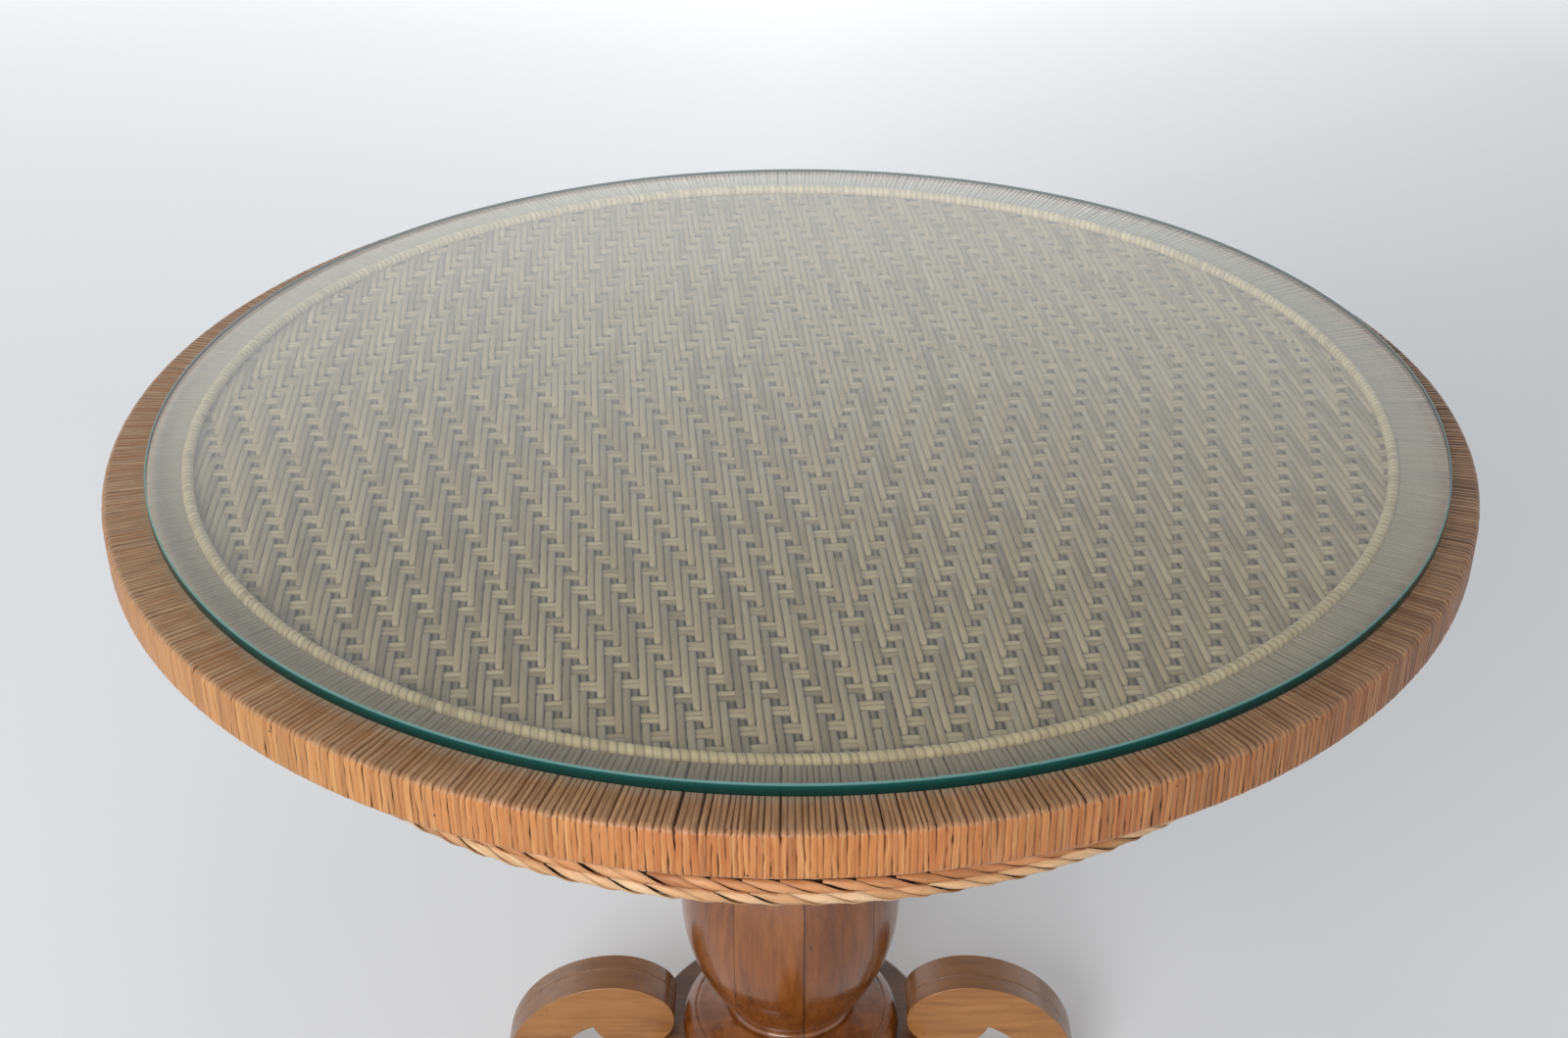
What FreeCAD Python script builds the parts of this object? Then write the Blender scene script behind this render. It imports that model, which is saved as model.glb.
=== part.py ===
# Round pedestal table with a loose glass disc, a cane-bound rim, a woven top and four scroll feet.
# Millimetres, +Z up, origin on the floor under the middle of the table, front along -Y.
import FreeCAD, Part
import math
import os
import re
import Sketcher
from FreeCAD import Placement, Rotation, Vector

doc = FreeCAD.newDocument("display_table")
dims = doc.addObject("Spreadsheet::Sheet", "dims")

sizes = {
    # overall height to the top of the glass, and the gaps kept between pieces
    "table_height": 760,
    "rest_gap": 0.3,
    "fit_gap": 0.3,
    "hole_gap": 0.15,
    "cut_overrun": 2,
    # loose glass disc, lying a little off centre
    "glass_setback": 28,
    "glass_thickness": 9.5,
    "glass_bevel": 1.2,
    "glass_shift": 5.6,
    # cane-bound cord that covers the edge of the weave and carries the glass
    "bead_radius": 3.85,
    "rim_land": 64,
    "bead_proud": 4.7,
    # rim of eight felloes under a skin of cane binding
    "rim_radius": 533,
    "rim_height": 36.6,
    "rim_corner": 5,
    "wrap_thickness": 1.5,
    "wrap_margin": 8.2,
    "rim_dowel_radius": 5,
    "rim_dowel_length": 50,
    # woven panel, its strands and where its pattern has its centre, and the board it lies on
    "weave_thickness": 6,
    "warp_pitch": 5.4,
    "front_row_pitch": 19.5,
    "back_row_pitch": 17.6,
    "weft_depth": 1.8,
    "twill_right": 6.2,
    "twill_back": 62.7,
    "board_thickness": 15,
    # apron hoop, its woven skin and the braid along its lower edge
    "apron_setback": 94,
    "apron_drop": 93,
    "hoop_thickness": 10,
    "hoop_setback": 2,
    "apron_weave_thickness": 3.5,
    "braid_row_height": 9.3,
    "braid_depth": 8,
    "braid_waist": 4,
    # two half-lapped bearers and the round plate on top of the pedestal
    "bearer_width": 64,
    "bearer_depth": 28,
    "plate_radius": 150,
    "plate_thickness": 22,
    # turned pedestal: foot ring, bulb and stem from a glued blank, astragal and capital above
    "ring_radius": 61,
    "ring_height": 8,
    "neck_radius": 57.5,
    "bulb_radius": 100.5,
    "bulb_level": 248,
    "stem_radius": 48,
    "stem_length": 96,
    "astragal_height": 16,
    "astragal_radius": 56,
    "capital_radius": 92,
    "capital_neck": 27.2,
    "capital_height": 62,
    "capital_fillet": 12,
    "first_glue_line": -50,
    "blank_board_width": 62,
    # turned collar between pedestal and plinth
    "collar_radius": 100,
    "collar_height": 39.5,
    "collar_side_height": 29.5,
    "collar_bulge": 3,
    "collar_crown": 2,
    "scribe_inset": 10,
    "scribe_depth": 1.2,
    # round plinth and the hub block under it
    "plinth_radius": 135.5,
    "plinth_height": 79.5,
    "plinth_thickness": 24,
    "plinth_edge": 3,
    "hub_half_width": 46,
    # scroll feet, each of two boards glued face to face
    "crown_over": 9,
    "scroll_reach": 166,
    "scroll_radius": 108,
    "band_width": 46,
    "nose_reach": 110,
    "nose_radius": 31,
    "nose_length": 17,
    "eye_fillet": 16,
    "eye_floor_drop": 19,
    "eye_ramp": 12,
    "sole_length": 60,
    "foot_relief": 8,
    "thin_ply": 18.4,
    "thick_ply": 27.6,
    "leg_dowel_radius": 5,
    "leg_dowel_length": 52,
    # steel fasteners
    "rod_radius": 6,
    "nut_radius": 11,
    "nut_height": 10,
    "washer_radius": 14,
    "washer_thickness": 2.5,
    "rod_end": 2,
    "pocket_radius": 17,
    "screw_radius": 2.4,
    "screw_bite": 12,
    "screw_head_radius": 4.5,
    "screw_head_height": 3,
    "screw_pocket_radius": 6,
    "screw_pocket_depth": 14,
    "brad_radius": 1.5,
    "brad_length": 24,
    "brad_head_radius": 3.2,
    "brad_head_height": 1.8,
    "plinth_screw_reach": 95,
    "plate_screw_inset": 38,
    "inner_board_screw": 210,
    "outer_screw_setback": 59,
}

for row, (alias, value) in enumerate(sizes.items(), start=1):
    dims.set(f"A{row}", alias)
    dims.set(f"B{row}", str(value))
    dims.setAlias(f"B{row}", alias)
doc.recompute()

# Counts of like pieces round the axis.
felloe_count = 8
leg_count = 4
glue_line_count = 3
full_turn = 360
felloe_turn = full_turn / felloe_count
leg_turn = full_turn / leg_count
brad_turns = (-felloe_turn / 4, felloe_turn / 4)

# The twill of the weave: wefts cross over two warps in five, and the whole leans by some degrees.
twill_repeat = 5
weft_float = 2
twill_lean = 5.6

# Shares of the pieces that carry them.
middle_share = "1 / 2"
dowel_level_shares = ("1 / 3", "2 / 3")
bend_share = "sqrt(1 / 2)"

# Levels above the floor, from the glass down and from the floor up.
glass_bottom = "(table_height - glass_thickness)"
bead_top = f"({glass_bottom} - rest_gap)"
rim_top = f"({bead_top} - bead_proud)"
rim_bottom = f"({rim_top} - rim_height)"
felloe_top = f"({rim_top} - wrap_thickness)"
felloe_bottom = f"({rim_bottom} + wrap_thickness)"
weave_top = f"({bead_top} - 2 * bead_radius - fit_gap)"
board_top = f"({weave_top} - weave_thickness)"
board_bottom = f"({board_top} - board_thickness)"
bearer_bottom = f"({board_bottom} - bearer_depth)"
lap_level = f"({board_bottom} - bearer_depth * {middle_share})"
plate_bottom = f"({bearer_bottom} - plate_thickness)"
apron_bottom = f"({rim_bottom} - apron_drop)"
braid_top = f"({apron_bottom} + 2 * braid_row_height)"
hoop_bottom = f"({apron_bottom} + hoop_setback)"
plinth_bottom = "(plinth_height - plinth_thickness)"
collar_top = "(plinth_height + collar_height)"
capital_foot = f"({plate_bottom} - capital_height)"
astragal_top = f"({capital_foot} - capital_neck)"
astragal_level = f"({astragal_top} - astragal_height)"
stem_level = f"({astragal_level} - stem_length)"
crown_height = "(plinth_height + 2 * nose_radius + crown_over)"

# Radii shared by pieces that fit one in another.
glass_radius = "(rim_radius - glass_setback)"
bead_ring_radius = "(rim_radius - rim_land)"
rim_seat = f"({bead_ring_radius} + bead_radius + fit_gap)"
felloe_radius = "(rim_radius - wrap_thickness - fit_gap)"
apron_radius = "(rim_radius - apron_setback)"
apron_skin = f"({apron_radius} + fit_gap)"
weave_face = f"({apron_skin} + apron_weave_thickness)"
hoop_inside = f"({apron_radius} - hoop_thickness)"
bore_radius = "(rod_radius + hole_gap)"
bearer_reach = f"(sqrt({hoop_inside} ^ 2 - (bearer_width / 2) ^ 2) - fit_gap)"
outer_board_screw = f"({hoop_inside} - outer_screw_setback)"
board_screw_reaches = {"inner": "inner_board_screw", "outer": outer_board_screw}
plate_screw_reach = "(plate_radius - plate_screw_inset)"
scribe_radius = "(collar_radius - scribe_inset)"

nodes = []


def bind(formula):
    """A formula in the sheet's aliases, written so that any object of the document can read it."""
    return re.sub(r"[a-z]+_\w+", lambda alias: "dims." + alias.group(0), formula)


def measure(formula):
    """The value that a formula has now."""
    return float(dims.evalExpression(bind(formula)))


def spot(x, z):
    """A point of an outline, where its two formulas put it now."""
    return Vector(measure(x), measure(z), 0)


def node(thing, label):
    """Name a finished sub-part and keep it for writing."""
    thing.Label = label
    nodes.append(thing)
    return thing


def place(thing, x="0", y="0", z="0", turn=None):
    """Set where a piece stands; its place follows the sheet."""
    if turn:
        thing.Placement = Placement(Vector(), turn)
    for letter, formula in (("x", x), ("y", y), ("z", z)):
        thing.setExpression("Placement.Base." + letter, bind(formula))
    return thing


def pin_point(sketch, geometry, end, x, z):
    """Hold one point of a sketch at the place that two formulas give."""
    for kind, formula in (("DistanceX", x), ("DistanceY", z)):
        hold = Sketcher.Constraint(kind, -1, 1, geometry, end, measure(formula))
        index = sketch.addConstraint(hold)
        sketch.setExpression(f"Constraints[{index}]", bind(formula))


def outline(name, path):
    """A body with a closed outline in its upright plane.

    A step of the path is a straight line to (x, z), or an arc through (x, z) to (x, z).
    """
    body = doc.addObject("PartDesign::Body", name)
    sketch = body.newObject("Sketcher::SketchObject", name + "_outline")
    upright = next(p for p in body.Origin.OriginFeatures if p.Role == "XZ_Plane")
    sketch.AttachmentSupport = [(upright, "")]
    sketch.MapMode = "FlatFace"
    starts = [step[-2:] for step in path]
    joins = []
    for start, step in zip(starts, path[1:] + path[:1]):
        here, there = spot(*start), spot(*step[-2:])
        if len(step) == 4:
            through = spot(*step[:2])
            edge = sketch.addGeometry(Part.Arc(here, through, there), False)
            mark = sketch.addGeometry(Part.Point(through), True)
            pin_point(sketch, mark, 1, *step[:2])
            sketch.addConstraint(Sketcher.Constraint("PointOnObject", mark, 1, edge))
        else:
            edge = sketch.addGeometry(Part.LineSegment(here, there), False)
        first, last = 1, 2
        start_gap = sketch.getPoint(edge, first).distanceToPoint(here)
        if sketch.getPoint(edge, last).distanceToPoint(here) < start_gap:
            first, last = last, first
        pin_point(sketch, edge, first, *start)
        joins.append((edge, first, last))
    for (edge, _, last), (following, first, _) in zip(joins, joins[1:] + joins[:1]):
        sketch.addConstraint(Sketcher.Constraint("Coincident", edge, last, following, first))
    return body, sketch


def turned(name, path, angle=full_turn):
    """A piece turned about the table's axis, whole or as a segment centred on +X."""
    body, sketch = outline(name, path)
    spin = body.newObject("PartDesign::Revolution", name + "_turning")
    spin.Profile = sketch
    spin.ReferenceAxis = (sketch, ["V_Axis"])
    spin.Midplane = angle < full_turn
    spin.Angle = angle
    body.Tip = spin
    return body


def sawn(name, path, thickness):
    """A board cut to an outline, with its back face in the plane of the outline and its front towards -Y."""
    body, sketch = outline(name, path)
    pad = body.newObject("PartDesign::Pad", name + "_board")
    pad.Profile = sketch
    pad.setExpression("Length", bind(thickness))
    body.Tip = pad
    return body


def rod(name, radius, height, x="0", y="0", z="0", turn=None):
    """A plain round bar, standing on its base point."""
    bar = doc.addObject("Part::Cylinder", name)
    bar.setExpression("Radius", bind(radius))
    bar.setExpression("Height", bind(height))
    return place(bar, x, y, z, turn)


def block(name, length, width, height, z):
    """A square block centred on the axis."""
    box = doc.addObject("Part::Box", name)
    box.setExpression("Length", bind(length))
    box.setExpression("Width", bind(width))
    box.setExpression("Height", bind(height))
    return place(box, f"-({length}) / 2", f"-({width}) / 2", z)


def cut(name, base, tools):
    """What is left of a piece when its holes and pockets are made."""
    holes = tools[0]
    if len(tools) > 1:
        holes = doc.addObject("Part::MultiFuse", name + "_holes")
        holes.Shapes = tools
    result = doc.addObject("Part::Cut", name)
    result.Base = base
    result.Tool = holes
    return result


def group(name, members):
    """Separate like solids that share one node."""
    together = doc.addObject("Part::Compound", name)
    together.Links = members
    return together


def copies(template, label, count, turn):
    """One node for each copy of a piece, turned round the axis from the first."""
    for index in range(count):
        copy = group(f"{label}_{index + 1}", [template])
        copy.Placement = Placement(Vector(), Rotation(Vector(0, 0, 1), index * turn))
        node(copy, f"{label}_{index + 1}")


def around(radius, angle):
    """The x and y formulas of a place on a circle."""
    return f"({radius}) * cos({angle})", f"({radius}) * sin({angle})"


def screw(name, x, y, head_level, reach):
    """An upright screw, head down, whose tip stands at a level."""
    head = rod(name + "_head", "screw_head_radius", "screw_head_height", x, y, head_level)
    shank_level = f"({head_level} + screw_head_height)"
    shank = rod(name + "_shank", "screw_radius", f"{reach} - {shank_level}", x, y, shank_level)
    whole = doc.addObject("Part::Fuse", name)
    whole.Base = head
    whole.Tool = shank
    return whole


def screw_hole(name, x, y, low, high):
    """The hole that a screw's shank passes or bites."""
    return rod(name, "screw_radius + hole_gap", f"{high} - {low}", x, y, low)


def screw_pocket(name, x, y, low, depth):
    """The wider pocket that takes a screw's head, open at the underside."""
    return rod(name, "screw_pocket_radius", f"{depth} + cut_overrun", x, y, f"{low} - cut_overrun")


# Loose glass disc with ground edges.
glass = turned("glass_disc", [
    ("0", glass_bottom),
    (f"{glass_radius} - glass_bevel", glass_bottom),
    (glass_radius, f"{glass_bottom} + glass_bevel"),
    (glass_radius, "table_height - glass_bevel"),
    (f"{glass_radius} - glass_bevel", "table_height"),
    ("0", "table_height"),
])
node(place(glass, "glass_shift"), "glass_top")

# Bound cord in the corner between the weave and the rim.
bead = doc.addObject("Part::Torus", "bead_ring")
bead.setExpression("Radius1", bind(bead_ring_radius))
bead.setExpression("Radius2", bind("bead_radius"))
node(place(bead, z=f"{bead_top} - bead_radius"), "rim_bead")

# Woven panel, as thick as its crossing strands. The wefts lie lower than the warps, and where they show they
# make slanting valleys, which meet in points and run round the centre of the twill as diamonds.
weave_reach = f"({rim_seat} + twill_back)"
valley_floor = f"({weave_top} - weft_depth)"
valley_half = f"(warp_pitch * {weft_float} / 2)"
valley_step = f"(warp_pitch * {twill_repeat})"
first_valley = f"({valley_step} - warp_pitch * {middle_share})"


def leaned_slab(name, front, back, depths):
    """A slab over the valley floor that leans with the twill, from a span in front to a span behind."""
    slab = doc.addObject("Part::Wedge", name)
    spans = {"X": front, "X2": back, "Y": depths}
    for height in ("Z", "Z2"):
        spans[height] = (valley_floor, f"{weave_top} + cut_overrun")
    for letter, (low, high) in spans.items():
        slab.setExpression(letter + "min", bind(low))
        slab.setExpression(letter + "max", bind(high))
    return place(slab, "twill_right", "twill_back", turn=Rotation(Vector(0, 0, 1), twill_lean))


def valley_span(side, middle):
    """Where a valley lies across, from its distance to the spine on one side of it."""
    return f"{side} * {middle} - {valley_half}", f"{side} * {middle} + {valley_half}"


def twill_valleys(name, side, row_pitch, behind):
    """The valleys of a quarter, right (1) or left (-1) of the spine, behind the centre or before it."""
    slant = f"({weave_reach} * warp_pitch / {row_pitch})"
    furthest = f"sqrt({weave_reach} ^ 2 + {slant} ^ 2)"
    count = math.ceil(measure(f"{furthest} / {valley_step}"))
    depths = ("0", weave_reach) if behind else (f"-{weave_reach}", "0")
    valleys = []
    for index in range(count):
        middle = f"({first_valley} + {valley_step} * {index})"
        spans = [valley_span(side, middle), valley_span(side, f"({middle} - {slant})")]
        front, back = spans if behind else reversed(spans)
        valleys.append(leaned_slab(f"{name}_valley_{index}", front, back, depths))
    room = ("0", f"2 * {weave_reach}") if side > 0 else (f"-2 * {weave_reach}", "0")
    clipped = doc.addObject("Part::Common", name + "_valleys")
    clipped.Base = group(name + "_valley_set", valleys)
    clipped.Tool = leaned_slab(name + "_quarter", room, room, depths)
    return clipped


woven_disc = rod("woven_disc", f"{rim_seat} - fit_gap", "weave_thickness", z=board_top)
quarters = []
for side, side_name in ((1, "right"), (-1, "left")):
    quarters.append(twill_valleys(f"front_{side_name}", side, "front_row_pitch", behind=False))
    quarters.append(twill_valleys(f"back_{side_name}", side, "back_row_pitch", behind=True))
node(cut("woven_twill", woven_disc, quarters), "woven_panel")

# Board under the weave, drilled from below for the bearers' screws.
board_spots = []
for reach in board_screw_reaches.values():
    for index in range(leg_count):
        board_spots.append(around(reach, index * leg_turn))
board_bite = f"({board_bottom} + screw_bite)"
board_disc = rod("board_disc", f"{rim_seat} - fit_gap", "board_thickness", z=board_bottom)
board_holes = [
    screw_hole(f"board_hole_{i}", x, y, f"({board_bottom} - cut_overrun)", f"({board_bite} + hole_gap)")
    for i, (x, y) in enumerate(board_spots)
]
node(cut("board_drilled", board_disc, board_holes), "backing_board")

# Felloe: one eighth of the rim, rabbeted for the board, with rounded outer corners.
inner_corner = "(rim_corner - wrap_thickness)"
inner_fall = f"{inner_corner} * (1 - {bend_share})"
felloe_side = f"({felloe_radius} - {inner_corner})"
felloe_bend = f"{felloe_side} + {inner_corner} * {bend_share}"
felloe_body = turned("felloe_blank", [
    (rim_seat, felloe_top),
    (felloe_side, felloe_top),
    (felloe_bend, f"{felloe_top} - {inner_fall}", felloe_radius, f"{felloe_top} - {inner_corner}"),
    (felloe_radius, f"{felloe_bottom} + {inner_corner}"),
    (felloe_bend, f"{felloe_bottom} + {inner_fall}", felloe_side, felloe_bottom),
    (apron_skin, felloe_bottom),
    (apron_skin, board_bottom),
    (rim_seat, board_bottom),
], felloe_turn)
rim_middle = f"({felloe_bottom} + {felloe_top}) / 2"
felloe_middle = f"({rim_seat} + {felloe_radius}) / 2"
brad_level = f"({felloe_bottom} + {board_bottom}) / 2"


def rim_dowel(name, angle, gap="0"):
    """A dowel across the joint between two felloes, or with a gap the hole for it."""
    half = f"(rim_dowel_length / 2 + {gap})"
    x, y = around(felloe_middle, angle)
    lie = Rotation(Vector(0, 0, 1), angle).multiply(Rotation(Vector(1, 0, 0), 90))
    x, y = f"{x} - {half} * sin({angle})", f"{y} + {half} * cos({angle})"
    return rod(name, f"rim_dowel_radius + {gap}", f"2 * {half}", x, y, rim_middle, lie)


def brad_hole(name, angle):
    """The radial hole that a hoop brad passes and bites."""
    x, y = around(f"{hoop_inside} - cut_overrun", angle)
    lie = Rotation(Vector(0, 0, 1), angle).multiply(Rotation(Vector(0, 1, 0), 90))
    length = "brad_length + cut_overrun + hole_gap"
    return rod(name, "brad_radius + hole_gap", length, x, y, brad_level, lie)


def brad(name, angle):
    """A radial brad from inside the hoop into the felloe, its head against the hoop."""
    lie = Rotation(Vector(0, 0, 1), angle).multiply(Rotation(Vector(0, 1, 0), 90))
    x, y = around(f"{hoop_inside} - brad_head_height", angle)
    head = rod(name + "_head", "brad_head_radius", "brad_head_height", x, y, brad_level, lie)
    x, y = around(hoop_inside, angle)
    shank = rod(name + "_shank", "brad_radius", "brad_length", x, y, brad_level, lie)
    whole = doc.addObject("Part::Fuse", name)
    whole.Base = head
    whole.Tool = shank
    return whole


felloe_ends = (-felloe_turn / 2, felloe_turn / 2)
felloe_holes = [rim_dowel(f"felloe_dowel_hole_{i}", angle, "hole_gap") for i, angle in enumerate(felloe_ends)]
felloe_holes += [brad_hole(f"felloe_brad_hole_{i}", angle) for i, angle in enumerate(brad_turns)]
copies(cut("felloe_drilled", felloe_body, felloe_holes), "rim_felloe", felloe_count, felloe_turn)
joint_turns = [(index + 1 / 2) * felloe_turn for index in range(felloe_count)]
rim_dowels = [rim_dowel(f"rim_dowel_{i}", angle) for i, angle in enumerate(joint_turns)]
node(group("rim_dowel_set", rim_dowels), "rim_dowels")

# Skin of cane binding, over the top, down the side and tucked under the rim.
wrap_side = "(rim_radius - rim_corner)"
rim_fall = f"rim_corner * (1 - {bend_share})"
wrap_bend = f"{wrap_side} + rim_corner * {bend_share}"
skin_radius = "(rim_radius - wrap_thickness)"
skin_bend = f"{wrap_side} + {inner_corner} * {bend_share}"
wrap_end = f"({weave_face} + wrap_margin)"
node(turned("wrap_skin", [
    (rim_seat, rim_top),
    (wrap_side, rim_top),
    (wrap_bend, f"{rim_top} - {rim_fall}", "rim_radius", f"{rim_top} - rim_corner"),
    ("rim_radius", f"{rim_bottom} + rim_corner"),
    (wrap_bend, f"{rim_bottom} + {rim_fall}", wrap_side, rim_bottom),
    (wrap_end, rim_bottom),
    (wrap_end, felloe_bottom),
    (wrap_side, felloe_bottom),
    (skin_bend, f"{felloe_bottom} + {inner_fall}", skin_radius, f"{felloe_bottom} + {inner_corner}"),
    (skin_radius, f"{felloe_top} - {inner_corner}"),
    (skin_bend, f"{felloe_top} - {inner_fall}", wrap_side, felloe_top),
    (rim_seat, felloe_top),
]), "rim_wrap")

# Apron hoop in eight bent segments, held to the felloes by brads.
hoop_body = turned("hoop_blank", [
    (hoop_inside, hoop_bottom),
    (apron_radius, hoop_bottom),
    (apron_radius, board_bottom),
    (hoop_inside, board_bottom),
], felloe_turn)
hoop_holes = [brad_hole(f"hoop_brad_hole_{i}", angle) for i, angle in enumerate(brad_turns)]
copies(cut("hoop_drilled", hoop_body, hoop_holes), "apron_segment", felloe_count, felloe_turn)
brads = []
for index in range(felloe_count):
    for angle in brad_turns:
        brads.append(brad(f"brad_{len(brads)}", index * felloe_turn + angle))
node(group("brad_set", brads), "apron_brads")

# Woven skin of the apron and the two-row braid along its lower edge.
node(turned("apron_skin_ring", [
    (apron_skin, braid_top),
    (weave_face, braid_top),
    (weave_face, f"{rim_bottom} - fit_gap"),
    (apron_skin, f"{rim_bottom} - fit_gap"),
]), "apron_weave")
braid_face = f"({apron_skin} + braid_depth)"
braid_groove = f"({apron_skin} + braid_waist)"
braid_seam = f"{apron_bottom} + braid_row_height"
node(turned("braid_ring", [
    (apron_skin, apron_bottom),
    (braid_groove, apron_bottom),
    (braid_face, f"{apron_bottom} + braid_row_height / 2", braid_groove, braid_seam),
    (braid_face, f"{braid_seam} + braid_row_height / 2", braid_groove, braid_top),
    (apron_skin, braid_top),
]), "apron_braid")

# Two bearers, half lapped where they cross, screwed up into the board.
lap_width = "bearer_width + 2 * fit_gap"
lap_depth = "bearer_depth / 2 + cut_overrun"
screw_floor = f"({bearer_bottom} + screw_pocket_depth)"
plate_tip = f"({bearer_bottom} + screw_bite)"
lap_floors = (f"{lap_level} - bearer_depth / 2 - cut_overrun", lap_level)
for number, axis in enumerate("xy"):
    bar = block(f"bar_{axis}", f"2 * {bearer_reach}", "bearer_width", "bearer_depth", bearer_bottom)
    notch = block(f"lap_{axis}", lap_width, lap_width, lap_depth, lap_floors[number])
    tools = [notch]
    for side in (0, 180):
        x, y = around(plate_screw_reach, side)
        pilot_floor = f"({bearer_bottom} - cut_overrun)"
        tools.append(screw_hole(f"bar_pilot_{axis}{side}", x, y, pilot_floor, f"({plate_tip} + hole_gap)"))
        for ring, reach in board_screw_reaches.items():
            x, y = around(reach, side)
            high = f"({board_bottom} + cut_overrun)"
            tools.append(screw_hole(f"bar_hole_{axis}{side}_{ring}", x, y, bearer_bottom, high))
            name = f"bar_pocket_{axis}{side}_{ring}"
            tools.append(screw_pocket(name, x, y, bearer_bottom, "screw_pocket_depth"))
    bearer = cut(f"bearer_cut_{axis}", bar, tools)
    bearer.Placement = Placement(Vector(), Rotation(Vector(0, 0, 1), number * leg_turn))
    node(bearer, f"bearer_{axis}")
board_screws = [
    screw(f"board_screw_{i}", x, y, f"({screw_floor} - screw_head_height)", board_bite)
    for i, (x, y) in enumerate(board_spots)
]
node(group("board_screw_set", board_screws), "bearer_screws")

# Round plate on the pedestal, with a pocket for the tie rod's upper nut.
nut_pocket = "(washer_thickness + nut_height + rod_end)"
plate_top_pocket = f"({bearer_bottom} - {nut_pocket})"
plate_spots = [around(plate_screw_reach, index * leg_turn) for index in range(leg_count)]
head_pocket = "(screw_head_height + fit_gap)"
plate_tools = [
    rod("plate_bore", bore_radius, "plate_thickness + 2 * cut_overrun", z=f"{plate_bottom} - cut_overrun"),
    rod("plate_pocket", "pocket_radius", f"{nut_pocket} + cut_overrun", z=plate_top_pocket),
]
for i, (x, y) in enumerate(plate_spots):
    plate_tools.append(screw_hole(f"plate_hole_{i}", x, y, plate_bottom, f"({bearer_bottom} + cut_overrun)"))
    plate_tools.append(screw_pocket(f"plate_screw_pocket_{i}", x, y, plate_bottom, head_pocket))
plate_disc = rod("plate_disc", "plate_radius", "plate_thickness", z=plate_bottom)
node(cut("plate_drilled", plate_disc, plate_tools), "mounting_plate")
plate_screws = [
    screw(f"plate_screw_{i}", x, y, f"({plate_bottom} + fit_gap)", plate_tip)
    for i, (x, y) in enumerate(plate_spots)
]
node(group("plate_screw_set", plate_screws), "plate_screws")

# Pedestal, turned from a blank of glued boards and bored for the tie rod.
neck_level = f"({collar_top} + ring_height)"
bulb_rise = f"(bulb_level - {neck_level})"
bulb_fall = "(bulb_radius - neck_radius)"
belly_radius = f"(({bulb_rise} ^ 2 + {bulb_fall} ^ 2) / (2 * {bulb_fall}))"
belly_middle = f"(bulb_radius - {belly_radius} + sqrt({belly_radius} ^ 2 - ({bulb_rise} / 2) ^ 2))"
waist_fall = "(bulb_radius - stem_radius)"
waist_rise = f"({stem_level} - bulb_level)"
curve_sum = f"(({waist_fall} ^ 2 + {waist_rise} ^ 2) / (2 * {waist_fall}))"
shoulder_share = "0.4"
shoulder_radius = f"({curve_sum} * {shoulder_share})"
cove_radius = f"({curve_sum} - {shoulder_radius})"
turn_rise = f"({waist_rise} * {shoulder_share})"
turn_radius = f"(bulb_radius - {waist_fall} * {shoulder_share})"
shoulder_sink = f"({shoulder_radius} - sqrt({shoulder_radius} ^ 2 - ({turn_rise} / 2) ^ 2))"
shoulder_middle = f"(bulb_radius - {shoulder_sink})"
cove_rise = f"({waist_rise} - {turn_rise})"
cove_middle = f"(stem_radius + {cove_radius} - sqrt({cove_radius} ^ 2 - ({cove_rise} / 2) ^ 2))"
capital_lip = f"({plate_bottom} - capital_fillet)"
flare_x_share = "0.3"
flare_z_share = "0.65"
vase = turned("vase_turning", [
    (bore_radius, collar_top),
    ("neck_radius", collar_top),
    ("ring_radius", f"{collar_top} + ring_height / 2", "neck_radius", neck_level),
    (belly_middle, f"bulb_level - {bulb_rise} / 2", "bulb_radius", "bulb_level"),
    (shoulder_middle, f"bulb_level + {turn_rise} / 2", turn_radius, f"bulb_level + {turn_rise}"),
    (cove_middle, f"{stem_level} - {cove_rise} / 2", "stem_radius", stem_level),
    ("stem_radius", astragal_level),
    (bore_radius, astragal_level),
])
glue_lines = [f"(first_glue_line + {index} * blank_board_width)" for index in range(glue_line_count)]
glue_lines = ["(-bulb_radius - cut_overrun)"] + glue_lines + ["(bulb_radius + cut_overrun)"]
for number, (left, right) in enumerate(zip(glue_lines, glue_lines[1:]), start=1):
    board = doc.addObject("Part::Box", f"blank_board_{number}")
    board.setExpression("Length", bind(f"{right} - {left}"))
    board.setExpression("Width", bind("2 * bulb_radius"))
    board.setExpression("Height", bind(astragal_level))
    place(board, left, "-bulb_radius")
    piece = doc.addObject("Part::Common", f"pedestal_piece_{number}")
    piece.Base = vase
    piece.Tool = board
    node(piece, f"pedestal_board_{number}")

# Upper end of the pedestal: an astragal, a short neck and a flared capital, turned in one piece.
node(turned("capital_turning", [
    (bore_radius, astragal_level),
    ("stem_radius", astragal_level),
    ("astragal_radius", f"{astragal_level} + astragal_height / 2", "stem_radius", astragal_top),
    ("stem_radius", capital_foot),
    (f"stem_radius + (capital_radius - stem_radius) * {flare_x_share}",
     f"{capital_foot} + (capital_height - capital_fillet) * {flare_z_share}", "capital_radius", capital_lip),
    ("capital_radius", plate_bottom),
    (bore_radius, plate_bottom),
]), "pedestal_capital")

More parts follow.
